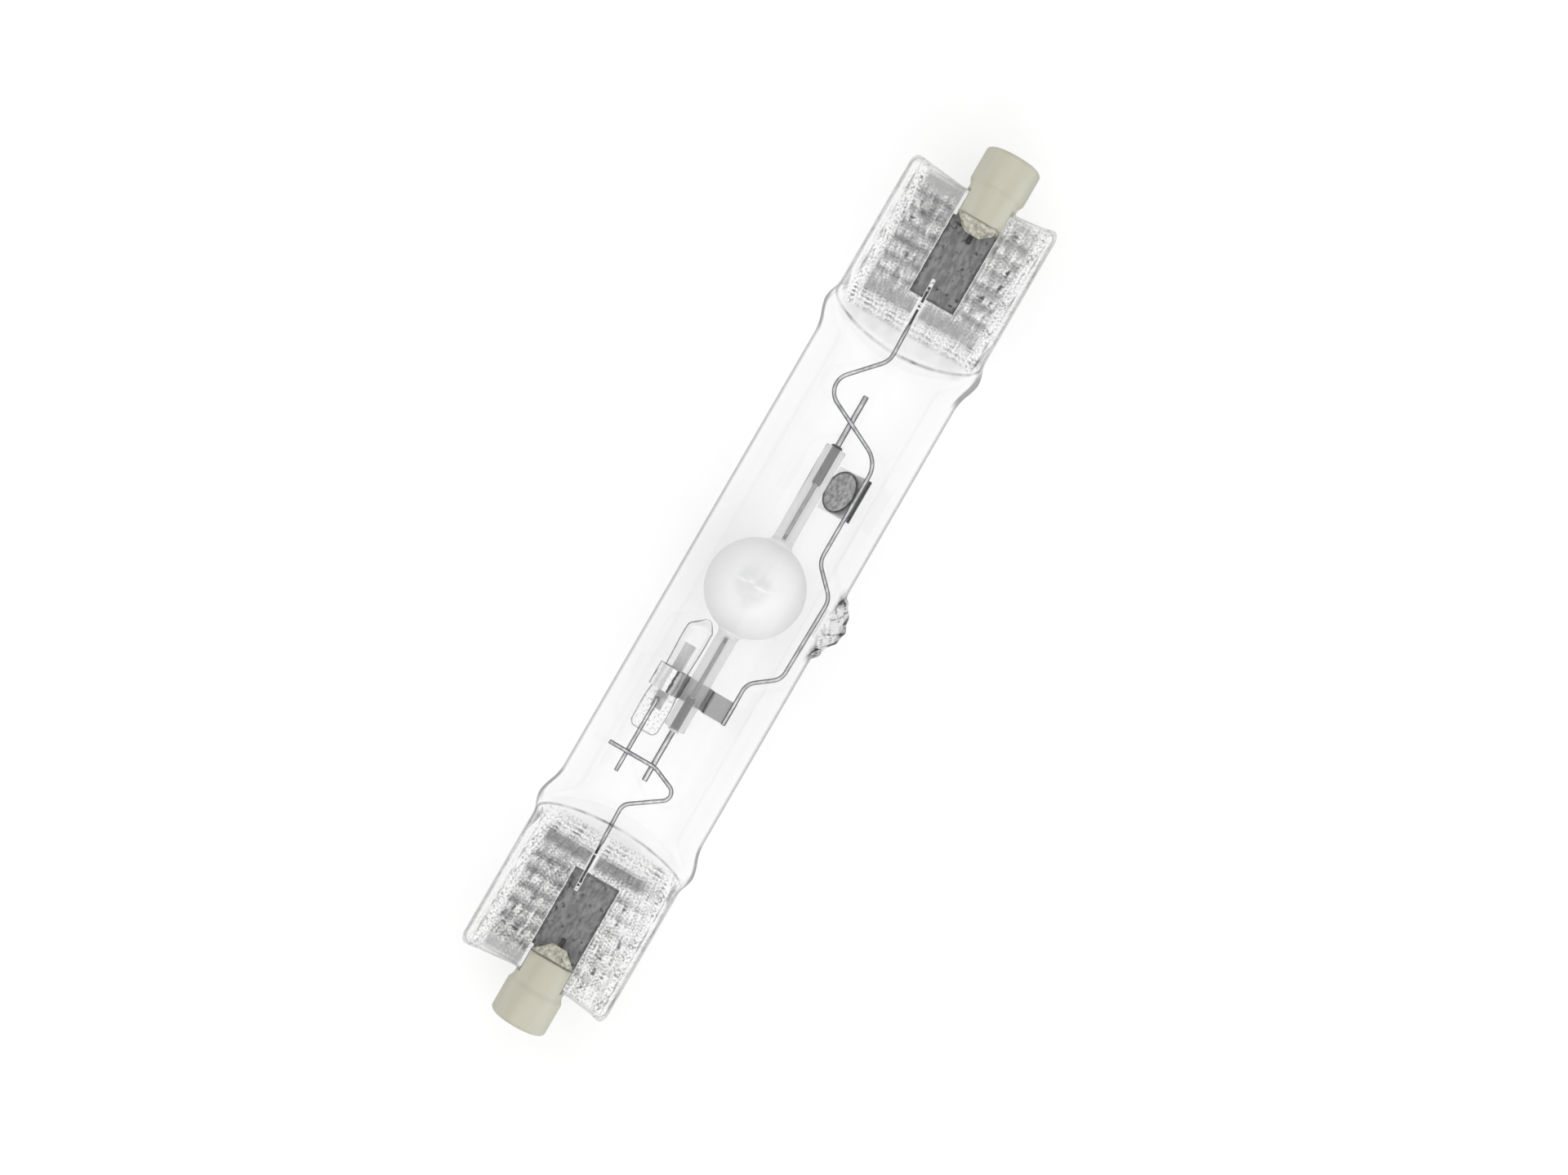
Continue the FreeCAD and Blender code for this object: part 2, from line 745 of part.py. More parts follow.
def make_getter():
    """Round pressed pellet that keeps the bulb's gas clean."""
    radius = getter_diameter / 2
    disc = turned_profile([
        ORIGIN,
        point(0, radius),
        point(getter_thickness - getter_chamfer, radius),
        point(getter_thickness, radius - getter_chamfer),
        point(getter_thickness, 0),
    ])
    disc.rotate(ORIGIN, ACROSS, -90)
    disc.rotate(ORIGIN, ALONG, -holder_angle)
    place = holder_place(holder_leg - radius, holder_thickness / 2)
    return disc.translated(point(getter_x, place.y, place.z))


def build():
    """All pieces by name, about the tube's axis."""
    ends = (("left", -1), ("right", 1))
    pieces = {}
    for name, side in ends:
        pieces["foil_" + name] = make_foil(side)
        pieces["outer_lead_" + name] = make_outer_lead(side, pieces["foil_" + name])
    pieces["lead_wire_left"] = make_lead_wire_left(pieces["foil_left"])
    pieces["frame_wire"] = make_frame_wire(pieces["foil_right"])
    pieces["envelope"] = make_envelope(list(pieces.values()))
    for name, side in ends:
        pieces["cap_" + name] = make_cap(side)
        pieces["contact_" + name] = make_contact(side)
        around = [pieces[node] for node in ("cap_" + name, "foil_" + name, "outer_lead_" + name, "envelope")]
        pieces["cement_" + name] = make_cement(side, around)
        pieces["niobium_rod_" + name] = make_niobium_rod(side)
        pieces["feedthrough_" + name] = make_feedthrough(side)
        pieces["electrode_" + name] = make_electrode(side)
        pieces["electrode_coil_" + name] = make_electrode_coil(side)
        pieces["frit_seal_" + name] = make_frit_seal(side)
    pieces["arc_tube"] = make_arc_tube()
    pieces["halide_dose"] = make_dose()
    aid_foil = make_aid_foil()
    aid_lead = make_aid_lead(aid_foil)
    pieces["starting_aid_foil"] = aid_foil
    pieces["starting_aid_lead"] = aid_lead
    pieces["starting_aid_capsule"] = make_aid_capsule([aid_foil, aid_lead])
    pieces["strap"] = make_strap()
    pieces["getter_holder"] = make_getter_holder()
    pieces["getter"] = make_getter()
    return pieces


os.makedirs("parts", exist_ok=True)
for node, piece in build().items():
    solids = piece.Solids
    shape = solids[0] if len(solids) == 1 else Part.makeCompound(solids)
    shape.translated(point(0, footprint_shift, tube_radius)).exportStep("parts/" + node + ".step")
    print(node, len(solids), shape.isValid(), round(shape.Volume, 3))
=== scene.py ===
import math

import bpy
import numpy as np
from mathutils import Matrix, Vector


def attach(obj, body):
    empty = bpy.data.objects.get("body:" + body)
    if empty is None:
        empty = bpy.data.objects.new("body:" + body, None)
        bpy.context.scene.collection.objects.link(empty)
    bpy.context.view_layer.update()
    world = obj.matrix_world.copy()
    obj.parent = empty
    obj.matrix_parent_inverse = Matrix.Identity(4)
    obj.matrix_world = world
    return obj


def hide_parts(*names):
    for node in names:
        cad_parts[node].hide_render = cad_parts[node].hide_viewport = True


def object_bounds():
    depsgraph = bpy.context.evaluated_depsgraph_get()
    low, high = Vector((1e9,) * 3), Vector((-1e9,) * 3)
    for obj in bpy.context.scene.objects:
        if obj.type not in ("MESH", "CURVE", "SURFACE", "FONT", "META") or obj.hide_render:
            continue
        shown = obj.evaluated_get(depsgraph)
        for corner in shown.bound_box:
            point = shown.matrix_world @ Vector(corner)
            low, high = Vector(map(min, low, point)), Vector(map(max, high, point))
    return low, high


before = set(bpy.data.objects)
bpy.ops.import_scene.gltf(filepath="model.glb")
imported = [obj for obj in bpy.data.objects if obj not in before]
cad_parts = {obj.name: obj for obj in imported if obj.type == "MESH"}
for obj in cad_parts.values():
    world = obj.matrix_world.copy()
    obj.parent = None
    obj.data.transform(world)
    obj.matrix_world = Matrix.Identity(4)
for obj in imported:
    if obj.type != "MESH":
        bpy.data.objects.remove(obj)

cad_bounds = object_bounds()
scene = bpy.context.scene

# Sizes repeated from the part's source, in millimetres about the axis of the tube
tube_radius = 9.5
tube_wall = 1.2
footprint_shift = 0.55
lamp_half_length = 58.8
contact_x = 57.1
contact_seat_x = contact_x - 0.8
contact_stem_x = contact_x - 2.4
cap_step_x = 54.2
cap_mouth_x = 50.1
cap_y = -0.9
cap_radius = 3.6
cap_neck_radius = 3.25
hole_radius = 1.6
seat_radius = 1.35
stem_radius = 0.7
pinch_end_x = 53.15
panel_x = 36.65
foot_x = 35.35
cavity_apex_x = 35.1
cavity_nose = 0.5
rib_half = 2.3
panel_half = 1.5
panel_shift = -0.25
panel_half_width = 7.45
slope = math.tan(math.radians(59.0))
left_slope = math.tan(math.radians(65.0))
foil_start_x = 39.25
foil_end_x = 49.75
foil_y = -0.7
foil_half_width = 3.0
foil_half_thickness = 0.025
weld_x = foil_start_x + 2.5
wire_radius = 0.26
wire_z = 0.245
outer_lead_radius = 0.3
frame_wire_y = -4.65
rod_radius = 0.35
rod_left_x = -26.55
rod_right_x = 25.85
arc_tube = np.array([-0.35, 0.35, -0.385])
ball_radius = 6.1
ball_wall = 0.8
capillary_radius = 1.3
capillary_bore = 0.45
capillary_reach = 19.15
frit_depth = {"left": 4.15, "right": 4.85}
aid_y = 3.6
aid_z = -0.535
aid_radius = 1.6
aid_left_x = -21.6
aid_right_x = -6.3
aid_lead_y = aid_y + 0.25
strap_x = -14.75
getter_x = 14.6

mm = 0.001
tube_axis = np.array([0, footprint_shift, tube_radius])
ends = (("left", -1), ("right", 1))


# Numbers

def rise(value, low, high):
    """0 up to low, 1 from high on, and a smooth rise between them."""
    share = np.clip((value - low) / (high - low), 0, 1)
    return share * share * (3 - 2 * share)


def within(value, middle, reach, softness):
    """1 near the middle, falling softly to 0 where the value is out of reach of it."""
    return rise(reach - abs(value - middle), 0, softness)


def span(value, low, high, rising, falling):
    """1 between low and high, with a smooth change inside either limit."""
    return rise(value, low, low + rising) * rise(high - value, 0, falling)


def toward(start, end, share):
    """What lies that share of the way from start to end."""
    return start + (end - start) * share


def unit(vector):
    return vector / np.linalg.norm(vector)


def curve_through(stations, x):
    """A smooth curve through (x, value) stations, level beyond both ends."""
    xs, values = np.array(stations, float).T
    slopes = np.gradient(values, xs)
    slopes[0] = slopes[-1] = 0
    x = np.asarray(x, float)
    index = np.clip(np.searchsorted(xs, x) - 1, 0, len(xs) - 2)
    width = xs[index + 1] - xs[index]
    t = np.clip((x - xs[index]) / width, 0, 1)
    start = (1 + 2 * t) * (1 - t) ** 2 * values[index] + t * (1 - t) ** 2 * width * slopes[index]
    end = t * t * (3 - 2 * t) * values[index + 1] + t * t * (t - 1) * width * slopes[index + 1]
    return start + end


def lumps(x, y, cell, seed):
    """Smooth random values from -1 to 1, in cells of that size."""
    count = 256
    table = np.random.default_rng(seed).uniform(-1, 1, (count, count))
    x, y = np.broadcast_arrays(np.asarray(x, float) / cell, np.asarray(y, float) / cell)
    column, row = np.floor(x).astype(int), np.floor(y).astype(int)
    u, v = rise(x - column, 0, 1), rise(y - row, 0, 1)

    def corner(i, j):
        return table[(column + i) % count, (row + j) % count]

    near = corner(0, 0) * (1 - u) + corner(1, 0) * u
    far = corner(0, 1) * (1 - u) + corner(1, 1) * u
    return near * (1 - v) + far * v


def soft_least(first, second, sharpness):
    """The lesser of two heights, with a rounded change from one to the other."""
    first, second = np.maximum(first, 1e-9), np.maximum(second, 1e-9)
    low, ratio = np.minimum(first, second), np.minimum(first, second) / np.maximum(first, second)
    return low * (1 + ratio ** sharpness) ** (-1 / sharpness)


def arch(y, half_width, height):
    """The height at y of half an ellipse."""
    return height * np.sqrt(np.maximum(0, 1 - (y / half_width) ** 2))


def corner_loss(value, end, radius):
    """How much a rounded corner takes off near the end."""
    past = np.clip((value - (end - radius)) / radius, 0, 1)
    return radius * (1 - np.sqrt(1 - past * past))


def closing_in(end, depth, count, start=0.0):
    """Stations that lie closer and closer together towards a rounded end."""
    return end - depth * (1 - np.sin(np.linspace(start, math.pi / 2, count)))


def both_ways(*parts):
    """Stations on both sides of the middle, from those on one side."""
    half = np.concatenate(parts)
    return np.concatenate([-half[:0:-1], half])


# Points and faces

def placed(points):
    """Millimetres about the tube's axis to metres in the row frame."""
    return (np.asarray(points, float) + tube_axis) * mm


def coordinates(mesh):
    """The points of a mesh, in millimetres about the tube's axis."""
    co = np.zeros(len(mesh.vertices) * 3, np.float32)
    mesh.vertices.foreach_get("co", co)
    return co.reshape(-1, 3) / mm - tube_axis


def facing(points, quads, outward=True):
    """Turns the quads over where they face the wrong way."""
    a, b, c, d = (points[quads[:, i]] for i in range(4))
    volume = (np.cross(a, b) * c).sum() + (np.cross(a, c) * d).sum()
    return quads if (volume > 0) == outward else quads[:, ::-1]


def skin(rings, looped=False, outward=True):
    """Points and quads over closed rings, with the rings themselves closed in a loop if asked."""
    rings = np.asarray(rings, float)
    count, columns = rings.shape[:2]
    row = np.arange(count if looped else count - 1)[:, None]
    column = np.arange(columns)[None, :]
    near, far = row * columns, (row + 1) % count * columns
    ahead = (column + 1) % columns
    quads = np.stack([near + column, near + ahead, far + ahead, far + column], -1).reshape(-1, 4)
    points = rings.reshape(-1, 3)
    return points, facing(points, quads, outward)


def welded(points, quads):
    """Joins points that lie together, and drops the faces and corners that this closes."""
    keys = np.round(points * 1e4).astype(np.int64)
    first, inverse = np.unique(keys, axis=0, return_index=True, return_inverse=True)[1:]
    faces = []
    for quad in inverse.reshape(-1)[quads]:
        corners = [int(c) for i, c in enumerate(quad) if c != quad[i - 1]]
        if len(set(corners)) == len(corners) > 2:
            faces.append(corners)
    return points[first], faces, first


def rounded(corners, closed=False, steps=6):
    """Points of a flat or bent line whose (point, radius) corners are rounded by arcs."""
    places = [np.array(corner, float) for corner, _ in corners]
    line = []
    for index, (_, radius) in enumerate(corners):
        corner = places[index]
        if not radius or (not closed and index in (0, len(places) - 1)):
            line.append(corner)
            continue
        back = unit(places[index - 1] - corner)
        ahead = unit(places[(index + 1) % len(places)] - corner)
        half = math.acos(np.clip(back @ ahead, -1, 1)) / 2
        inward, side = unit(back + ahead), unit(ahead - back)
        middle = corner + inward * radius / math.sin(half)
        sweep = math.pi / 2 - half
        for step in range(steps + 1):
            angle = sweep * (2 * step / steps - 1)
            line.append(middle + radius * (side * math.sin(angle) - inward * math.cos(angle)))
    return np.array(line)


def divided(line, step):
    """The same line with points no further apart than the step."""
    parts = []
    for start, end in zip(line[:-1], line[1:]):
        count = max(1, math.ceil(np.linalg.norm(end - start) / step))
        parts.append(start + (end - start) * np.arange(count)[:, None] / count)
    return np.concatenate(parts + [line[-1:]])


def full_turn(sides):
    return np.linspace(0, 2 * math.pi, sides, endpoint=False)


def lathed(profile, sides=96, looped=False):
    """Turns (x, radius) points about the X axis."""
    return skin([[(x, r * math.cos(a), r * math.sin(a)) for a in full_turn(sides)] for x, r in profile], looped)


def swept(line, radius, sides=20, wobble=0.0, seed=1):
    """A round wire along a line, with small chamfers at its ends."""
    chamfer, face_share = 0.06, 0.75
    line = np.asarray(line, float)
    ahead = np.gradient(line, axis=0)
    ahead /= np.linalg.norm(ahead, axis=1)[:, None]
    across = np.cross(ahead[0], (0, 0, 1.0) if abs(ahead[0][2]) < 0.9 else (0, 1.0, 0))
    along = np.concatenate([[0], np.cumsum(np.linalg.norm(np.diff(line, axis=0), axis=1))])
    sizes = radius * (1 + wobble * lumps(along, 0, 0.8, seed))
    turn = full_turn(sides)[:, None]
    rings = []
    for place, direction, size in zip(line, ahead, sizes):
        across = unit(across - direction * (across @ direction))
        up = np.cross(direction, across)
        rings.append(place + size * (np.cos(turn) * across + np.sin(turn) * up))
    tips = []
    for end, outward in ((0, -ahead[0]), (-1, ahead[-1])):
        middle = line[end]
        face = middle + (rings[end] - middle) * face_share + outward * chamfer
        tips.append((face, np.repeat((middle + outward * chamfer)[None], sides, 0)))
    return skin([tips[0][1], tips[0][0]] + rings + [tips[1][0], tips[1][1]])


def pressed_rings(xs, half_width, half_height, columns, evenness=0.0):
    """Rings across X that run over the top from +Y to -Y and back underneath."""
    turn = full_turn(columns)
    over = np.minimum(turn, 2 * math.pi - turn)
    evenness = np.broadcast_to(np.asarray(evenness, float), len(xs))[:, None]
    lean = (1 - evenness) * np.cos(over) + evenness * (1 - 2 * over / math.pi)
    x = np.repeat(np.asarray(xs, float)[:, None], columns, 1)
    y = half_width(x) * lean
    z = np.where(turn <= math.pi, 1, -1) * half_height(x, y)
    return np.stack([x, y, z], -1)


# Meshes and pieces

def new_mesh(name, points, faces):
    mesh = bpy.data.meshes.new(name)
    mesh.from_pydata(points, [], faces)
    mesh.update()
    return mesh


def new_object(name, data):
    made = bpy.data.objects.new(name, data)
    scene.collection.objects.link(made)
    return made


def modified(blank):
    """The mesh that an object's modifiers make of it."""
    bpy.context.view_layer.update()
    return bpy.data.meshes.new_from_object(blank.evaluated_get(bpy.context.evaluated_depsgraph_get()))


def add_mark(mesh, mark, values):
    mesh.attributes.new(mark, "FLOAT", "POINT").data.foreach_set("value", np.asarray(values, np.float32))


def add_mesh(name, nodes, material, mesh, sharp=None):
    mesh.polygons.foreach_set("use_smooth", [True] * len(mesh.polygons))
    if sharp:
        mesh.set_sharp_from_angle(angle=math.radians(sharp))
    mesh.materials.clear()
    mesh.materials.append(material)
    piece = new_object(name, mesh)
    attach(piece, "root")
    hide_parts(*nodes)


def add_piece(name, nodes, material, shells, sharp=None, marks=None):
    """Makes one piece from (points, quads) shells, in place of CAD nodes."""
    points = np.concatenate([shell[0] for shell in shells])
    starts = np.cumsum([0] + [len(shell[0]) for shell in shells[:-1]])
    quads = np.concatenate([shell[1] + start for shell, start in zip(shells, starts)])
    points, faces, kept = welded(points, quads)
    mesh = new_mesh(name, placed(points).tolist(), faces)
    for mark, values in (marks or {}).items():
        add_mark(mesh, mark, np.asarray(values)[kept])
    add_mesh(name, nodes, material, mesh, sharp)


# Materials

def from_srgb(*levels):
    """A colour from 0 to 255 levels, in the linear values that shaders use."""
    shares = [level / 255 for level in levels]
    return [s / 12.92 if s <= 0.04045 else ((s + 0.055) / 1.055) ** 2.4 for s in shares] + [1.0]


class NodeNet:
    """The node tree of a material or a world."""

    def __init__(self, owner):
        owner.use_nodes = True
        self.tree = owner.node_tree

    def fill(self, made, inputs):
        """Links or sets sockets of a node. Three numbers are a colour, as levels from 0 to 255."""
        for key, value in inputs.items():
            if isinstance(value, bpy.types.NodeSocket):
                self.tree.links.new(value, made.inputs[key])
                continue
            if isinstance(value, tuple) and len(value) == 3:
                value = from_srgb(*value)
            made.inputs[key].default_value = value

    def add(self, kind, inputs=None, **settings):
        made = self.tree.nodes.new("ShaderNode" + kind)
        for key, value in settings.items():
            setattr(made, key, value)
        self.fill(made, inputs or {})
        return made

    def place(self):
        return self.add("TexCoord").outputs["Object"]

    def mark(self, name):
        return self.add("Attribute", attribute_name=name).outputs["Fac"]

    def noise(self, scale, detail=3.0, stretch=(1, 1, 1), roughness=0.55):
        """Noise over the object, with the scale in waves per millimetre."""
        place = self.add("Mapping", {"Vector": self.place(), "Scale": [s / mm for s in stretch]})
        return self.add("TexNoise", {"Vector": place.outputs[0], "Scale": scale, "Detail": detail,
                                     "Roughness": roughness}).outputs[0]

    def ramp(self, value, low, high, to_low=0.0, to_high=1.0, **settings):
        return self.add("MapRange", {"Value": value, "From Min": low, "From Max": high,
                                     "To Min": to_low, "To Max": to_high}, **settings).outputs[0]

    def math(self, operation, first, second=0.0):
        return self.add("Math", {0: first, 1: second}, operation=operation).outputs[0]

    def times(self, first, second):
        return self.math("MULTIPLY", first, second)

    def most(self, first, second):
        return self.math("MAXIMUM", first, second)

    def rest(self, share):
        return self.math("SUBTRACT", 1.0, share)

    def mixed_value(self, share, first, second):
        return self.add("Mix", {0: share, 2: first, 3: second}, data_type="FLOAT").outputs[0]

    def mixed(self, share, first, second, blend="MIX"):
        return self.add("Mix", {0: share, 6: first, 7: second}, data_type="RGBA", blend_type=blend).outputs[2]

    def grey(self, level):
        return self.add("CombineColor", {0: level, 1: level, 2: level}).outputs[0]

    def passing(self):
        """1 for rays that carry light on to other things, which go through glass unbent."""
        path = self.add("LightPath").outputs
        return self.most(path["Is Shadow Ray"], path["Is Diffuse Ray"])

    def bump(self, shader, height, depth, strength=1.0):
        """Relief of that depth in millimetres."""
        relief = self.add("Bump", {"Height": height, "Distance": depth * mm, "Strength": strength})
        self.fill(shader, {"Normal": relief.outputs[0]})

    def mixed_shader(self, share, first, second):
        return self.add("MixShader", {0: share, 1: first.outputs[0], 2: second.outputs[0]})

    def surface(self, shader):
        self.fill(self.tree.nodes["Material Output"], {"Surface": shader.outputs[0]})


def new_material(name):
    material = bpy.data.materials.new(name)
    net = NodeNet(material)
    return material, net, net.tree.nodes["Principled BSDF"]


def solid_material(name, dark, light, scale, rough, metallic=0.0, stretch=(1, 1, 1), bump=0.0,
                   bump_scale=None, speck=None, spread=(0.35, 0.65), rim=None, specular=0.5):
    """An opaque surface whose colour, gloss and relief vary with noise, and which takes another colour where
    its rim mark lies; on the cap, the cement and the getter that colour is painted shade.
    """
    material, net, shader = new_material(name)
    grain = net.ramp(net.noise(scale, 4.0, stretch), *spread)
    colour = net.mixed(grain, dark, light)
    if speck:
        speck_colour, speck_scale, start, end = speck
        specks = net.ramp(net.noise(speck_scale, 2.0), start, end)
        colour = net.mixed(specks, colour, speck_colour)
    if rim:
        # The rim colour: painted shade on the cap, the cement and the getter
        colour = net.mixed(net.mark("rim"), colour, rim)
    fine = net.noise(bump_scale or scale * 3, 4.0, stretch)
    net.fill(shader, {"Base Color": colour, "Roughness": net.ramp(fine, 0.3, 0.7, *rough),
                      "Metallic": metallic, "Specular IOR Level": specular})
    if bump:
        net.bump(shader, fine, bump)
    return material


glass_marks = ("tint", "frost", "grit", "edge", "veil", "crease", "shoulder")


def clear_glass(name, outline, shade):
    """Quartz glass that lets lamp light through to what is behind it.

    The outline says how grazing the view is where the edge begins to darken and where it is darkest, and
    how much light it lets through there. Marks on the mesh say where the glass is tinted, frosted, grainy,
    outlined, or so thin or uneven that what is behind it shows through unbent (veil), how far it is from
    the crease where a pressed slope begins, and where a swollen shoulder darkens as it is seen edge on.
    """
    material, net, shader = new_material(name)
    tint, frost, grit, edge, veil, crease, shoulder = (net.mark(mark) for mark in glass_marks)
    grazing = net.add("LayerWeight", {"Blend": 0.5}).outputs["Facing"]
    passing = net.passing()

    swing = net.ramp(net.noise(3.5, 3.0, (1, 1, 0), 0.6), 0.32, 0.68, -1.0, 1.0)
    grains = net.math("POWER", 8.0, net.times(swing, grit))
    tint = net.math("MINIMUM", net.times(tint, grains), 1.0)
    # A grey line painted along the crease where the pressed slope begins: painted shade.
    line = net.ramp(net.math("ABSOLUTE", crease), 0.1, 0.6, 1.0, 0.0)
    line = net.times(line, net.ramp(net.noise(0.35, 2.0), 0.35, 0.65, 0.3, 0.95))
    shoulder = net.times(shoulder, net.ramp(grazing, 0.4, 0.65, 0.0, 0.7))
    clear = net.ramp(net.noise(0.55, 2.0, (0.18, 1, 1)), 0.35, 0.65, 0.99, 1.0)
    for factor in (tint, net.rest(line), net.rest(shoulder)):
        clear = net.times(clear, factor)
    net.fill(shader, {"Base Color": net.grey(clear), "Roughness": net.ramp(frost, 0.0, 1.0, 0.0, 0.32),
                      "IOR": 1.458, "Transmission Weight": 1.0})
    net.bump(shader, net.times(frost, net.noise(3.2, 4.0, (1, 1, 1), 0.65)), 0.12, 0.8)

    begins, darkest, level = outline
    rim = net.times(net.ramp(grazing, begins, darkest, 0.0, 0.96), edge)
    seen = net.times(net.ramp(rim, 0.0, 1.0, 1.0, level), net.math("POWER", clear, 0.5))
    shadow = net.times(net.ramp(grazing, 0.5, 1.0, 1.0, shade), net.ramp(tint, 0.0, 1.0, 0.9, 1.0))
    through = net.add("BsdfTransparent", {"Color": net.grey(net.mixed_value(passing, seen, shadow))})
    shine = net.add("BsdfGlossy", {"Color": (1, 1, 1, 1), "Roughness": 0.02})
    gloss = net.ramp(net.math("POWER", grazing, 4.0), 0.0, 1.0, 0.03, 0.5)
    gloss = net.times(gloss, net.most(net.math("SUBTRACT", edge, passing), 0.0))
    thin = net.mixed_shader(gloss, through, shine)
    share = net.most(passing, net.most(rim, veil))
    net.surface(net.mixed_shader(share, shader, thin))
    return material


def alumina(name):
    """Translucent white ceramic: milky on the ball, clearer on the thin capillaries."""
    material, net, shader = new_material(name)
    along = net.add("SeparateXYZ", {0: net.place()}).outputs[0]
    from_middle = net.math("ABSOLUTE", net.math("SUBTRACT", along, arc_tube[0] * mm))
    clearness = net.ramp(from_middle, 6.0 * mm, 6.8 * mm)
    inside = net.mark("inside")
    # A darker blotch over the middle of the ball: painted shadow of the electrodes and the dose inside it.
    painted_inner_shadow = net.times(net.mark("painted_inner_shadow"), net.ramp(net.noise(0.3, 2.0), 0.35, 0.65, 0.4, 1.0))
    white = (254, 254, 254)
    colour = net.mixed(net.mark("seam"), net.mixed(painted_inner_shadow, white, (222, 222, 223)), white)
    net.fill(shader, {"Base Color": colour, "Roughness": 0.4, "IOR": 1.5})
    milky = net.mixed_shader(0.1, shader, net.add("BsdfTranslucent", {"Color": colour}))
    glassy = net.add("BsdfRefraction", {"Color": (240, 240, 240), "Roughness": 0.05, "IOR": 1.25})
    plain = net.add("BsdfTransparent", {"Color": (252, 252, 252)})
    share = net.times(clearness, net.ramp(inside, 0.0, 1.0, 0.8, 1.0))
    seen = net.mixed_shader(share, milky, net.mixed_shader(inside, glassy, plain))
    share = net.times(net.passing(), net.ramp(clearness, 0.0, 1.0, 0.35, 0.9))
    through = net.add("BsdfTransparent", {"Color": (246, 246, 246)})
    net.surface(net.mixed_shader(share, seen, through))
    return material


def banded_metal(name, bands, metallic):
    """Sheet metal that is lighter or darker from place to place across the lamp, as (y, level) bands say. The
    bands are painted light: painted highlights and painted shade across the sheet.
    """
    material, net, shader = new_material(name)
    low, high = bands[0][0], bands[-1][0]
    across = net.add("SeparateXYZ", {0: net.place()}).outputs[1]
    share = net.ramp(across, *((y + footprint_shift) * mm for y in (low, high)))
    wave = net.ramp(net.noise(0.9, 3.0), 0.3, 0.7, -0.012, 0.012)
    shades = net.add("ValToRGB", {0: net.math("ADD", wave, share)})
    elements = shades.color_ramp.elements
    for y, _ in bands[1:-1]:
        elements.new((y - low) / (high - low))
    for element, (_, level) in zip(elements, bands):
        element.color = from_srgb(level, level, level + 1)
    streak = net.grey(net.ramp(net.noise(3.2, 4.0, (2.2, 0.5, 0.5)), 0.35, 0.65, 0.86, 1.0))
    net.fill(shader, {"Base Color": net.mixed(1.0, shades.outputs[0], streak, "MULTIPLY"),
                      "Roughness": net.ramp(net.noise(7.0), 0.3, 0.7, 0.26, 0.42), "Metallic": metallic})
    return material


def lead_material(name, flank, painted_sheen_dark, painted_sheen_light):
    """Drawn wire, with painted shade that darkens its flanks and a painted sheen that lightens its top and
    bottom.

    Where it is sealed in the glass it is painted white, a painted glare, with a dark broken line along its top.
    """
    material, net, shader = new_material(name)
    sealed, crest = net.mark("sealed"), net.mark("crest")
    # Painted sheen along the top and bottom of the bare wire, painted shade on its flanks
    grain = net.ramp(net.noise(1.6, 4.0, (0.5, 1.2, 1.2)), 0.35, 0.65)
    middle = net.mixed(grain, painted_sheen_dark, painted_sheen_light)
    bare_painted_light = net.mixed(net.ramp(crest, 0.6, 0.95), flank, middle)
    # Painted white glare on the sealed wire, broken by a dark line along its top
    broken = net.ramp(net.noise(2.2, 2.0, (1, 0.3, 0.3)), 0.42, 0.48)
    line = net.times(net.ramp(crest, 0.68, 0.8), broken)
    sealed_painted_glare = net.mixed(line, (250, 250, 250), (26, 26, 26))
    fine = net.noise(4.8, 4.0, (0.35, 1.2, 1.2))
    net.fill(shader, {"Base Color": net.mixed(sealed, bare_painted_light, sealed_painted_glare),
                      "Metallic": net.rest(sealed), "Roughness": net.ramp(fine, 0.3, 0.7, 0.25, 0.45)})
    net.bump(shader, fine, 0.02)
    return material


quartz = clear_glass("quartz", (0.7, 0.84, 0.58), 0.96)
capsule_quartz = clear_glass("capsule_quartz", (0.5, 0.72, 0.22), 0.9)
lead_metal = lead_material("lead_wire", (88, 88, 90), (160, 160, 162), (214, 214, 216))
niobium = lead_material("niobium", (92, 92, 94), (168, 168, 170), (214, 214, 215))
outer_metal = solid_material(
    "outer_lead", (26, 26, 27), (70, 70, 72), 1.6, (0.25, 0.5), 1.0, (0.6, 1.2, 1.2), bump=0.03)
feedthrough_metal = solid_material(
    "feedthrough", (140, 140, 142), (168, 168, 170), 1.8, (0.4, 0.55), 0.6, (0.4, 1.5, 1.5), bump=0.01)
tungsten = solid_material("tungsten", (88, 88, 90), (128, 128, 130), 3.0, (0.35, 0.55), 1.0, bump=0.01)
foil_metal = solid_material(
    "sealing_foil", (102, 102, 103), (134, 134, 135), 1.6, (0.5, 0.7), 0.2, (0.5, 1.3, 1), bump=0.02,
    bump_scale=2.5, speck=((44, 44, 45), 1.5, 0.6, 0.68), spread=(0.4, 0.6), rim=(60, 60, 61))
aid_foil_metal = solid_material(
    "aid_foil", (172, 172, 173), (196, 196, 197), 1.2, (0.45, 0.6), 0.5, (0.6, 1.4, 1), bump=0.015,
    bump_scale=2.5)
# The strap's bands are painted light: white painted highlights where its curved sheet faces the light, and dark
# painted shade at its edges and where it turns away.
strap_steel_painted_light = banded_metal("rolled_sheet_painted_light", (
    (-4.8, 90), (-4.45, 120), (-4.2, 150), (-1.7, 160), (-1.62, 84), (-1.5, 84), (-1.4, 215), (-0.5, 222),
    (-0.38, 226), (-0.3, 120), (-0.1, 112), (0.0, 205), (0.85, 226), (1.05, 175), (1.5, 160), (1.62, 90),
    (1.76, 120), (2.1, 172), (2.4, 232), (2.5, 140), (3.0, 185), (3.12, 60), (3.28, 60), (3.4, 240),
    (3.85, 238), (3.98, 200), (4.4, 214), (4.6, 252), (5.5, 252), (5.64, 110), (5.8, 90)), 0.85)
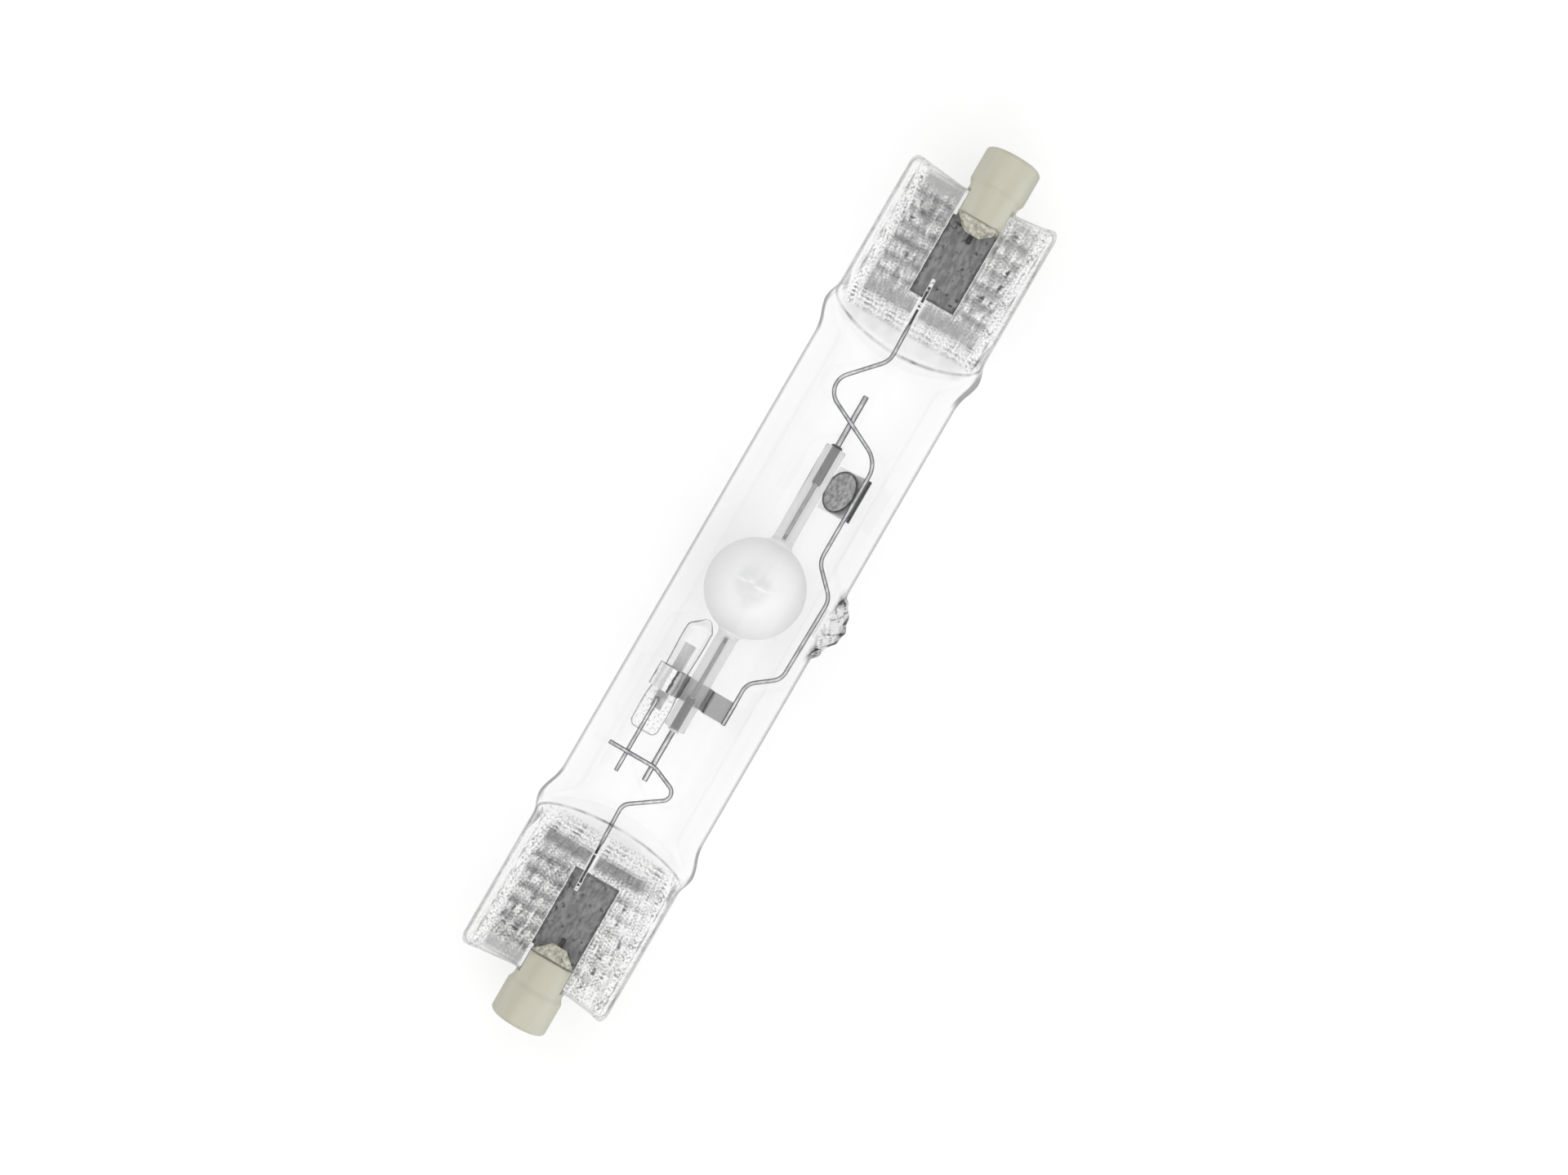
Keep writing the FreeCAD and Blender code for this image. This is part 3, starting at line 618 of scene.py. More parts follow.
# The holder's bands are painted light: painted shade on the flange below the fold, and a bright painted glare
# on its leg.
holder_steel_painted_light = banded_metal(
    "holder_sheet_painted_light", ((-5.3, 40), (-4.98, 60), (-4.9, 215), (-4.4, 240), (-1.0, 250)), 0.8)
# The pellet's rim colour is painted shade in the gap round it.
getter_metal = solid_material(
    "pressed_powder", (122, 122, 123), (196, 196, 197), 1.8, (0.45, 0.75), 0.1, bump=0.06, bump_scale=3.0,
    rim=(18, 18, 19))
contact_metal = solid_material(
    "plated_contact", (150, 146, 138), (190, 186, 176), 1.5, (0.3, 0.5), 1.0, bump=0.01)
# The cap's rim colour is painted shade along its top and bottom.
cap_ceramic = solid_material(
    "cap_ceramic", (200, 199, 181), (214, 214, 197), 0.3, (0.5, 0.7), stretch=(0.25, 1, 1), bump=0.02,
    bump_scale=2.2, rim=(182, 172, 155))
# The cement's rim colour is painted shadow next to the cap's mouth.
cement_grain = solid_material(
    "cement", (160, 158, 140), (220, 219, 205), 2.0, (0.7, 0.9), bump=0.08, bump_scale=4.5,
    speck=((100, 98, 84), 2.4, 0.62, 0.7), rim=(96, 94, 82))
frit_glaze = solid_material(
    "frit_glaze", (56, 56, 57), (80, 80, 81), 1.2, (0.3, 0.45), bump=0.02, rim=(222, 222, 220), specular=0.15)
salts = solid_material("halide_salts", (190, 160, 90), (226, 204, 140), 4.0, (0.3, 0.6), bump=0.1)
ceramic_white = alumina("translucent_alumina")


# Quartz envelope

def half_across(x):
    """Half the width of the outside at x."""
    side = abs(x)
    width = curve_through([(29.4, 9.5), (31.2, 9.75), (32.6, 10.25), (33.6, 10.45), (34.6, 10.3),
                           (35.6, 9.95), (36.4, 9.85)], side)
    return width - corner_loss(side, pinch_end_x, 1.1)


def steepness(x):
    """The slope that the press left at either end. The left one is a little steeper."""
    return np.where(x < 0, left_slope, slope)


def slab_height(x):
    """Half the height to which the press has flattened the glass."""
    above_foot = (foot_x - abs(x)) * steepness(x)
    softness = 0.4
    return rib_half + softness * np.logaddexp(0, above_foot / softness)


def panel_mask(x, y):
    """1 on the recessed panel of each pressed end, falling to 0 over its flanks."""
    margin = 0.25
    inset = np.minimum(abs(x) - panel_x + margin, panel_half_width + margin - abs(y - panel_shift))
    return rise(inset, -0.25, 0.3)


def press_marks(x, y):
    """Bars and small windows of the press pattern, as (bar, window, window rim) shares."""
    first_x, pitch, last = 40.2, 2.03, 5
    out = abs(x) + np.where(x > 0, 0.3, 0.0)
    nearest = np.clip(np.round((out - first_x) / pitch), 0, last) * pitch + first_x
    beside_foil = 0.35 + 0.65 * rise(abs(y - foil_y), foil_half_width, foil_half_width + 0.4)
    bar = within(out, nearest, 0.48, 0.25) * beside_foil
    across = (out - nearest - 0.85) / 0.5
    window, rim = np.zeros_like(x), np.zeros_like(x)
    # Each row of windows: its middle and half width in y, and its strength at the left and at the right end
    for middle, half, left, right in ((-5.5, 0.6, 1.0, 0.5), (-6.9, 0.4, 0.5, 0.6), (4.8, 0.6, 0.7, 0.45),
                                      (3.6, 0.4, 0.6, 0.4), (6.3, 0.42, 0.6, 0.5), (-4.2, 0.25, 0.5, 0.6)):
        strength = np.where(x < 0, left, right) * (0.75 + 0.5 * lumps(nearest, middle, 1.7, 20))
        distance = np.maximum(abs(across), abs(y - middle) / half)
        window = np.maximum(window, strength * rise(1.05 - distance, 0, 0.35))
        rim = np.maximum(rim, strength * within(distance, 1.0, 0.42, 0.25))
    live = span(out, 38.3, 52.4, 0.5, 0.8)
    return bar * live, window * live, rim * live


def ridge_wave(side):
    """1 on each of the fine ridges beside the slope, and -1 between them."""
    first_x, pitch = 35.95, 0.54
    return np.cos(2 * math.pi * (side - first_x) / pitch)


def outside_height(x, y):
    """Half the thickness of the envelope at a point, before the tip is added."""
    side = abs(x)
    sharpness = curve_through([(29, 12.0), (34, 9.0), (36.5, 2.6)], side)
    height = soft_least(arch(y, half_across(x), tube_radius), slab_height(x), sharpness)
    panel = panel_mask(x, y)
    bar, window, rim = press_marks(x, y)
    flat = panel_half - 0.10 * bar - 0.10 * window + 0.06 * rim + 0.05 * lumps(x, y, 0.35, 5)
    flank = within(abs(y - panel_shift), 8.0, 1.3, 0.9) * rise(side, 36.2, 37.2)
    height = height + 0.14 * flank * lumps(x, y, 0.32, 7)
    height = height * (1 - panel) + np.minimum(flat, height) * panel
    ridges = span(side, 35.0, 36.9, 0.4, 0.3) * within(y, 0, 8.4, 1)
    height = height + 0.07 * ridges * ridge_wave(side) * (0.8 + 0.5 * lumps(x, y, 0.45, 11))
    edge_round = 0.6
    past = np.clip((side - (pinch_end_x - edge_round)) / edge_round, 0, 1)
    return height * (1 - past ** 3) ** (1 / 3)


def fine_lumps(x, y):
    return lumps(x, y, 0.3, 21)


def coarse_lumps(x, y):
    return lumps(x, y, 0.9, 22)


def foil_cover(x, y):
    """1 on the clear glass over a foil."""
    margin = 0.15
    return within(y, foil_y, foil_half_width + margin, margin) * rise(abs(x), 39.0, 39.0 + margin)


def panel_look(x, y):
    """Tone and grain of the recessed panel, which is paler towards the tip's side at the left end."""
    side, left = abs(x), x < 0
    fine, coarse = fine_lumps(x, y), coarse_lumps(x, y)
    bar, window, rim = press_marks(x, y)
    tone = np.where(left, 0.6, 0.52) + 0.1 * coarse + 0.14 * fine
    fade = rise(-y, 3.4, 7.0) * np.where(left, 0.75, 0.05)
    tone = toward(tone, 1.05, fade) - bar * np.where(left, 0.38, 0.24) * (1 - 0.1 * fade)
    tone = tone + 1.3 * rim * (0.6 + 0.7 * fine) - 0.14 * window
    tone = tone - 1.5 * window * rise(lumps(x, y, 0.36, 23), 0.25, 0.5)
    for scratch_y in (3.85, -4.2, -4.6):
        tone = tone + 0.5 * within(y, scratch_y, 0.12, 0.08) * rise(fine, -0.4, 0.2)
    grit = np.where(left, 0.7, 0.4) * (0.8 + 0.4 * coarse)

    # A calm corner near the cap, and a dark band beside the slope
    calm = rise(side, 50.6, 51.4) * (y > 0)
    tone, grit = toward(tone, 0.46, 0.9 * calm), grit * (1 - 0.8 * calm)
    band = span(side, 36.7, 38.5, 0.2, 0.25) * (1 - 0.5 * rise(-y, 5, 7))
    tone = toward(tone, np.where(left, 0.27, 0.42) + 0.1 * fine, band)
    grit = grit * (1 - 0.5 * band)

    over_foil = foil_cover(x, y)
    return toward(tone, 0.95 - 0.06 * bar + 0.05 * fine, over_foil), grit * (1 - 0.75 * over_foil)


def rib_look(x, y):
    """Tone and grain of the two ribs and of the speckled flanks beside them."""
    speckled = within(y, panel_shift, 8.8, 0.5)
    tone = 1.1 + 0.6 * speckled - 0.3 * rise(abs(y), 9.3, 9.6)
    tone = tone - 1.3 * speckled * rise(lumps(x, y, 0.34, 29), 0.25, 0.5)
    for line_y, depth in ((8.75, 1.0), (9.15, 0.4)):
        line = within(abs(y + 0.2), line_y, 0.13, 0.1)
        tone = tone - depth * line * (0.75 + 0.6 * lumps(x, y, 0.7, 24))
    return tone, 0.12 + 0.9 * speckled


def pressed_look(x, y):
    """Tone, grain and frost of the pressed ends."""
    side, left = abs(x), x < 0
    tone, grit = panel_look(x, y)
    frost = 0.6 * panel_mask(x, y) * (1 - 0.95 * foil_cover(x, y))
    flank = rise(abs(y - panel_shift), 7.35, 7.7)
    rib_tone, rib_grit = rib_look(x, y)
    tone, grit = toward(tone, rib_tone, flank), toward(grit, rib_grit, flank)
    frost = np.maximum(frost, 0.2 * flank)

    # Fine ridges and dots beside the slope
    foot = span(side, 34.9, 36.9, 0.4, 0.2) * within(y, 0, 8.6, 0.7)
    dots = rise(lumps(x * 0.6, y, 0.4, 25), -0.1, 0.35) * rise(-ridge_wave(side), 0.0, 0.7)
    uneven = 0.6 + 0.6 * lumps(x, y, 1.3, 27)
    tone = toward(tone, 1.0 + 0.25 * ridge_wave(side) * uneven - 1.3 * dots * uneven, foot)
    grit, frost = np.maximum(grit * (1 - foot), 0.5 * foot), toward(frost, 0.2, foot)

    # A dark wedge where each rib runs into the shoulder
    reach = np.maximum((side - 36.1) / 2.2, (36.1 - side) / 0.7)
    wedge = rise(np.minimum(9.4 - abs(y), abs(y) - 8.7 - 0.6 * reach), 0, 0.12)
    tone, grit = toward(tone, 0.3, wedge * np.where(left, 0.95, 0.75)), grit * (1 - 0.8 * wedge)

    # A pale edge along the end, and a clear channel round each lead
    brink = rise(side, pinch_end_x - 0.5, pinch_end_x - 0.3)
    tone, grit, frost = toward(tone, 1.2, brink), grit * (1 - 0.6 * brink), frost * (1 - brink)
    for lead_side, lead_y in ((-1, 0.85), (1, 0.3)):
        near = within(y, lead_y, 0.55, 0.12) * span(side, 34.6, 42.3, 0.6, 0.4) * (np.sign(x) == lead_side)
        tone, grit, frost = toward(tone, 1.0, near), grit * (1 - near), frost * (1 - near)
    return tone, grit, frost


def melted_tone(x, y, z):
    """Tone of the exhaust tip, with dark lines between its facets and a few dark patches."""
    facets = abs(lumps(x + 0.5 * z, y + 0.3 * x, 1.1, 26))
    facets = np.minimum(facets, 0.04 + abs(lumps(x - 0.7 * z, y - 0.5 * x, 0.9, 28))) + 0.1 * (z < 0)
    patch = rise(-y, 10.5, 11.1) * within(x, 0.7, 2.2, 1.5)
    for patch_x, patch_y in ((-3.6, -9.2), (3.4, -9.0)):
        patch = np.maximum(patch, within(np.hypot(x - patch_x, y - patch_y), 0, 1.3, 0.9))
    patch = patch * (0.75 + 0.5 * fine_lumps(x, y))
    return 1.0 - 1.1 * rise(0.2 - facets, 0, 0.13) - 0.85 * patch


def shoulder_mark(x, y, z):
    """Where the swollen shoulders, and the tube above the exhaust tip, darken as they are seen edge on."""
    side = abs(x)
    begins = np.where((x > 0) & (y < 0), 0.925, 0.955)
    shoulder = rise(abs(y) / half_across(x), begins, begins + 0.018) * span(side, 29.7, 35.2, 0.9, 1.0)
    above_tip = np.maximum(within(y, -8.0, 0.45, 0.2), within(y, -8.72 - 0.05 * x, 0.14, 0.1))
    return np.maximum(shoulder, above_tip * within(x, 0, 2.0, 0.4) * (z > 0))


def envelope_marks(x, y, z, inside):
    """The marks that clear_glass reads, in their order."""
    side, outside = abs(x), ~inside
    tone, grit, frost = pressed_look(x, y)
    pressed = rise(side, 34.6, 35.1) * outside
    tip = within(x, 0, 5.2, 0.6) * rise(-y, 8.6, 9.3) * outside
    tint = toward(np.clip(toward(1, tone, pressed), 0.02, 2.2), melted_tone(x, y, z), tip)

    # A grey shade on the slope at the right end
    shaded = span(side, 31.6, 34.9, 1.0, 0.8) * (x > 0) * (z > 0) * outside
    shaded = shaded * rise(abs(y + 0.6), 0.8, 2.5) * within(y, 0, 8.6, 1.5)
    tint = tint - shaded * (0.16 + 0.12 * coarse_lumps(x, y))

    veil = np.where(inside, 0.985, 0.96)
    veil = toward(veil, 0.62 + 0.2 * foil_cover(x, y), rise(side, 35.6, 36.4))
    veil = toward(veil, 0.6, tip)
    crease = slab_height(x) - arch(y, half_across(x), tube_radius)
    crease = np.where(inside | (z < 0), 1.0, np.clip(crease, -1, 1))
    return (tint, frost * pressed, grit * pressed + 0.06 * tip, outside * 1.0, veil, crease,
            shoulder_mark(x, y, z) * outside)


def tip_height(x, z):
    """How far the melted exhaust tip stands out of the tube."""
    along = x - 0.1
    reach = np.where(along < 0.35, (along - 0.35) / 4.75, (along - 0.35) / 3.75)
    far = np.sqrt(reach ** 2 + (z / 4.1) ** 2)
    body = np.clip(1 - far, 0, 1) ** 0.92
    mask = rise(1.02 - far, 0, 0.25)
    rough = 0.34 * lumps(x, z, 1.25, 31) + 0.22 * (1 - 2.2 * abs(lumps(x, z, 1.0, 32)))
    rough = rough * (0.4 + 0.6 * rise(far, 0.1, 0.5))
    collar = 0.22 * within(far, 0.9, 0.16, 0.12)
    return np.minimum(2.05 * body + mask * (rough * 0.8 + collar), 2.03)


def envelope_outside():
    """The tube, its pressed ends and the exhaust tip."""
    xs = both_ways(
        np.arange(0, 5.2, 0.24), np.arange(5.4, 29.3, 1.7), np.arange(29.3, 34.4, 0.3),
        np.arange(34.4, 52.5, 0.165), closing_in(pinch_end_x, 0.6, 9))
    evenness = 0.8 * rise(abs(xs), 33.5, 36.5)
    rings = pressed_rings(xs, half_across, outside_height, 248, evenness)
    x, y, z = (rings[..., i] for i in range(3))
    below = rise(-y, 4.0, 7.5)
    rings[..., 1] = y - below * tip_height(x, z) * (abs(x) < 6)

    # The ends of the pressed glass are wavy, and hollow in the middle
    outward = 0.85 * abs(y / 9.8) ** 2.2 - 0.15 + 0.1 * lumps(y, 0, 1.6, 41)
    rings[..., 0] = x + np.sign(x) * rise(abs(x), 49.5, pinch_end_x) * outward
    return skin(rings)


def envelope_inside():
    """The sealed hollow, which runs out in a wedge at both ends and in a funnel to the tip."""
    def inner_width(x):
        return curve_through([(29.4, 8.3), (31.2, 8.5), (32.8, 9.05), (33.6, 9.1), (34.6, 8.3),
                              (cavity_apex_x, 7.6)], abs(x))

    def inner_height(x, y):
        room = np.maximum(cavity_apex_x - abs(x), 0)
        wedge = steepness(x) * np.sqrt(room * (room + cavity_nose))
        return soft_least(arch(y, inner_width(x), tube_radius - tube_wall), wedge, 9.0)

    xs = both_ways(
        np.arange(0, 2.2, 0.22), np.arange(2.4, 29.3, 1.9), np.arange(29.3, 34.3, 0.35),
        closing_in(cavity_apex_x, 1, 12, 0.15))
    rings = pressed_rings(xs, inner_width, inner_height, 120)
    x, y, z = (rings[..., i] for i in range(3))
    far = np.sqrt((x - 0.1) ** 2 + z ** 2) / 1.5
    rings[..., 1] = y - 1.7 * rise(1 - far, 0, 1) * (y < 0)
    return skin(rings, outward=False)


def make_envelope():
    shells = [envelope_outside(), envelope_inside()]
    points = np.concatenate([shell[0] for shell in shells])
    inside = np.arange(len(points)) >= len(shells[0][0])
    marks = dict(zip(glass_marks, envelope_marks(*points.T, inside)))
    add_piece("quartz_envelope", ["envelope"], quartz, shells, marks=marks)


# Caps, contacts and cement

def at_end(points, side, middle=(0, cap_y, 0)):
    """Turns what was drawn at the right end about Z to its own end, and moves it to the caps' axis."""
    return points * (side, side, 1) + middle


def cut_slot(mesh, name, side):
    """Cuts the slot for the pressed end out of a cap."""
    half_width, half_height, depth = 5, 1.7, 3.0
    low = placed(at_end(np.array([cap_mouth_x - 1, -half_width, -half_height]), side))
    high = placed(at_end(np.array([cap_mouth_x + depth, half_width, half_height]), side))
    corners = [(x, y, z) for x in (low[0], high[0]) for y in (low[1], high[1]) for z in (low[2], high[2])]
    sides = [(0, 1, 3, 2), (4, 6, 7, 5), (0, 4, 5, 1), (2, 3, 7, 6), (0, 2, 6, 4), (1, 5, 7, 3)]
    cutter = new_object("cutter", new_mesh("cutter", corners, sides))
    body = new_object(name + "_blank", mesh)
    cut = body.modifiers.new("slot", "BOOLEAN")
    cut.object, cut.operation, cut.solver = cutter, "DIFFERENCE", "EXACT"
    result = modified(body)
    for thing in (cutter, body):
        bpy.data.objects.remove(thing)
    return result


def make_cap(name, side):
    profile = rounded([
        ((cap_mouth_x, stem_radius), 0), ((cap_mouth_x, cap_neck_radius), 0.25),
        ((cap_step_x - 0.35, cap_neck_radius), 0.9), ((cap_step_x + 0.25, cap_radius), 0.9),
        ((lamp_half_length, cap_radius), 0.6), ((lamp_half_length, hole_radius), 0.25),
        ((contact_x, hole_radius), 0.05), ((contact_x, seat_radius), 0.05),
        ((contact_seat_x, seat_radius), 0), ((contact_seat_x, stem_radius), 0)], True)
    points, quads = lathed(profile, 112, True)
    wear = 0.02 * lumps(points[:, 0], np.arctan2(points[:, 1], points[:, 2]) * 3, 1.3, 51)
    points[:, 1:] *= 1 - abs(wear)[:, None]
    points, faces, _ = welded(at_end(points, side), quads)
    cap = cut_slot(new_mesh(name, placed(points).tolist(), faces), name, side)
    # Darker and browner along the top and bottom of the cap, paler at its sides: painted shade.
    _, y, z = coordinates(cap).T
    crest = abs(z) / np.hypot(y - cap_y, z)
    add_mark(cap, "rim", 0.45 * rise(crest, 0.7, 1.0))
    add_mesh("ceramic_cap_" + name, ["cap_" + name], cap_ceramic, cap, 38)
    dish_x = contact_x - 0.12
    button = rounded([
        ((contact_stem_x, 0), 0), ((contact_stem_x, stem_radius), 0), ((contact_seat_x, stem_radius), 0),
        ((contact_seat_x, seat_radius), 0), ((contact_x, seat_radius), 0.2), ((dish_x, stem_radius), 0.4),
        ((dish_x, 0), 0)])
    points, quads = lathed(button, 64)
    add_piece("cap_contact_" + name, ["contact_" + name], contact_metal,
              [(at_end(points, side), quads)], 35)


def make_cement(name):
    """A copy of the CAD solid, remeshed fine and roughened where it is open to the air."""
    blank = new_object("blank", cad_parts["cement_" + name].data.copy())
    remesh = blank.modifiers.new("fine", "REMESH")
    remesh.mode, remesh.voxel_size = "VOXEL", 0.13 * mm
    mesh = modified(blank)
    bpy.data.objects.remove(blank)
    points = coordinates(mesh)
    normals = np.zeros(len(mesh.vertices) * 3, np.float32)
    mesh.vertices.foreach_get("normal", normals)
    x, y, z = points.T
    side = abs(x)
    open_air = rise(cap_mouth_x - 0.1 - side, 0, 0.3) * rise(abs(z) - panel_half, 0.05, 0.3)
    rough = 0.2 * lumps(x * 1.3 + z, y, 0.55, 61) + 0.1 * lumps(x - z, y + z, 0.22, 62)
    points = placed(points + normals.reshape(-1, 3) * (open_air * rough)[:, None])
    mesh.vertices.foreach_set("co", points.astype(np.float32).ravel())
    mesh.update()
    # Darker next to the cap's mouth, and more so at the left end: painted shadow in the gap under the cap.
    add_mark(mesh, "rim", np.where(x < 0, 0.8, 0.3) * rise(side, cap_mouth_x - 0.3, cap_mouth_x - 0.1))
    add_mesh("cap_cement_" + name, ["cement_" + name], cement_grain, mesh)


# Foils and wires

def make_foil(name, side):
    """A thin foil with feathered edges and slight waves, sealed in the pressed end."""
    length = foil_end_x - foil_start_x

    def half_width(x):
        return foil_half_width - 0.05 * abs(lumps(x, 0, 0.35, 71))

    def half_height(x, y):
        inset = np.minimum(foil_half_width - abs(y), np.minimum(x, length - x))
        return foil_half_thickness * rise(inset, -0.001, 0.5) ** 0.5

    rings = pressed_rings(np.linspace(0, length, 60), half_width, half_height, 96, 0.9)
    x, y = rings[..., 0], rings[..., 1]
    rings[..., 2] += 0.012 * lumps(x, y, 1.1, 72)
    inset = np.minimum(foil_half_width - abs(y), x) + 0.2 * lumps(x, y, 0.35, 73)
    rim = 0.9 * rise(0.42 - inset, 0, 0.25).ravel()
    rings[..., 0] = side * (foil_start_x + x)
    rings[..., 1] += foil_y
    add_piece("sealing_foil_" + name, ["foil_" + name], foil_metal, [skin(rings)],
              marks={"rim": rim})


def wire(name, nodes, slot, material, corners, radius=wire_radius, seed=1, wobble=0.03):
    """A wire along a line of (point, bend radius) corners."""
    line = divided(rounded(corners, steps=10), 0.4)
    points, quads = swept(line, radius, 20, wobble, seed)
    marks = {"sealed": rise(abs(points[:, 0]), 35.2, 35.7),
             "crest": abs(points[:, 2] - line[0][2]) / radius}
    add_piece(name, nodes, material, [(points, quads)], marks=marks)


def lead_wire(name, nodes, corners, seed):
    """A wire bent in one flat plane, from (x, y, bend radius) corners."""
    corners = [((x, y, wire_z), bend) for x, y, bend in corners]
    wire(name, nodes, "nickel_wire", lead_metal, corners, seed=seed)


def rod(name, nodes, slot, material, start, end, radius, **settings):
    """A straight wire."""
    wire(name, nodes, slot, material, [(start, 0), (end, 0)], radius, **settings)


def make_wires():
    hook_x, hook_end_y = rod_left_x + 2.0, aid_y + aid_radius + 1.0
    lead_wire("current_lead", ["lead_wire_left"], [
        (-weld_x, 0.85, 0), (rod_left_x - 3.7, 1.15, 1.5), (rod_left_x + 0.15, arc_tube[1] - 4.7, 1.05),
        (hook_x, arc_tube[1] - 0.35, 3.0), (hook_x, hook_end_y, 0)], 81)

    # The long lead swerves round the ball, close to the wall of the tube
    right_of_ball = arc_tube[0] + ball_radius + 0.45
    left_of_ball = arc_tube[0] - ball_radius - 1.65
    bypass_y, strap_y = -7.9, -4.4
    lead_wire("frame_lead", ["frame_wire"], [
        (weld_x, 0.35, 0), (rod_right_x + 5.0, 0.05, 2.5), (rod_right_x - 1.05, arc_tube[1] + 5.25, 2.2),
        (arc_tube[0] + capillary_reach + 0.9, frame_wire_y, 3.2), (right_of_ball, frame_wire_y, 2.4),
        (right_of_ball - 3.3, bypass_y, 2.4), (left_of_ball, bypass_y + 0.2, 2.0),
        (left_of_ball - 2.5, strap_y, 2.0), (strap_x - 1.45, strap_y, 0)], 82)

    outer_z = foil_half_thickness + outer_lead_radius - 0.04
    for name, side in ends:
        rod("outer_lead_" + name + "_wire", ["outer_lead_" + name], "nickel_wire", outer_metal,
            (side * (foil_end_x - 2.3), cap_y, outer_z), (side * contact_stem_x, cap_y, outer_z),
            outer_lead_radius, seed=83)
        start = capillary_reach - frit_depth[name] - 0.15
        rod("support_rod_" + name, ["niobium_rod_" + name], "niobium_rod", niobium,
            arc_tube + (side * start, 0, 0), arc_tube + (side * (capillary_reach + 7.05), 0, 0),
            rod_radius, seed=84, wobble=0.015)
    aid_lead_z = wire_z - 2 * wire_radius - 0.02
    rod("aid_lead", ["starting_aid_lead"], "nickel_wire", lead_metal,
        (-27.2, aid_lead_y, aid_lead_z), (aid_left_x + 4.3, aid_lead_y, aid_lead_z), wire_radius, seed=85)


# Arc tube

def ball_and_neck(radius, neck, fillet, reach):
    """Points of a ball's profile from its middle round to its neck, and out to the neck's end."""
    centre_r = neck + fillet
    centre_x = math.sqrt((radius + fillet) ** 2 - centre_r ** 2)
    meet = math.atan2(centre_r, centre_x)
    ball = [(radius * math.cos(a), radius * math.sin(a)) for a in np.linspace(math.pi / 2, meet, 30)]
    turn = [(centre_x + fillet * math.cos(a), centre_r + fillet * math.sin(a))
            for a in np.linspace(meet + math.pi, 1.5 * math.pi, 9)]
    run = [(x, neck) for x in np.linspace(turn[-1][0], reach, 14)[1:]]
    return ball + turn[1:] + run


def make_arc_tube():
    """Ball and capillaries as one hollow piece, with soft fillets at the necks."""
    lip = 0.12
    outer = ball_and_neck(ball_radius, capillary_radius, 0.9, capillary_reach - lip)
    inner = ball_and_neck(ball_radius - ball_wall, capillary_bore, 0.6, capillary_reach)
    right = outer + [(capillary_reach, capillary_radius - lip)] + inner[::-1]
    left = [(-x, r) for x, r in right[::-1]]
    points, quads = lathed(right[:-1] + left[:-1], 120, True)
    x, y, z = points.T
    turn = np.arctan2(z, y)
    outside = np.hypot(y, z) > capillary_radius - 0.2
    seam = 0.035 * within(x, 0.35 + 0.15 * np.sin(3 * turn), 0.22, 0.2)
    scale = 1 + outside * (seam * (abs(x) < 2) + 0.0025 * lumps(x, turn * 4, 1.8, 91)) / ball_radius
    points[:, 1:] *= scale[:, None]
    line = outside * within(x, 0.35 + 0.12 * np.sin(14 * turn), 0.14, 0.1)
    line = line * rise(abs(np.sin(turn)), 0.86, 0.97)
    # The middle of the ball, top and bottom, where the painted shadow of the electrodes and the dose lies
    far = np.hypot(x - 0.4, y) + 0.7 * lumps(x, y, 1.6, 92)
    painted_inner_shadow = outside * rise(3.4 - far, 0, 2.6)
    add_piece("arc_tube_body", ["arc_tube"], ceramic_white, [(points + arc_tube, quads)], 50,
              {"seam": line, "inside": ~outside * 1.0, "painted_inner_shadow": painted_inner_shadow})


def make_frit(name, side):
    """A sleeve of frit in the capillary's bore, with a bead that stands out of it."""
    start, mouth = capillary_reach - frit_depth[name], capillary_reach - 0.22
    foot, top = capillary_reach + 0.01, capillary_reach + 0.35
    hole, filling = 0.36, 0.44
    bead = rounded([
        ((start, hole), 0), ((start, filling), 0), ((mouth, filling), 0), ((foot, filling), 0),
        ((foot, 0.8), 0.1), ((top, 0.62), 0.25), ((top, hole), 0.05), ((mouth, hole), 0)], True)
    points, quads = lathed(bead, 48, True)
    pale = rise(points[:, 0], capillary_reach - 0.2, capillary_reach - 0.05) * (side < 0)
    add_piece("frit_" + name, ["frit_seal_" + name], frit_glaze,
              [(at_end(points, side, arc_tube), quads)], 60, {"rim": pale})


def make_coil(name, side):
    """The turns of wire round an electrode."""
    start, pitch, radius, wire_half = 3.35 + 0.125, 0.23, 0.325, 0.122
    turns = np.linspace(0, 5, 101)
    angle = 2 * math.pi * turns
    helix = np.stack([start + turns * pitch, radius * np.cos(angle), radius * np.sin(angle)], 1)
    points, quads = swept(helix, wire_half, 10)
    add_piece("coil_" + name, ["electrode_coil_" + name], tungsten,
              [(at_end(points, side, arc_tube), quads)])


# Starting aid

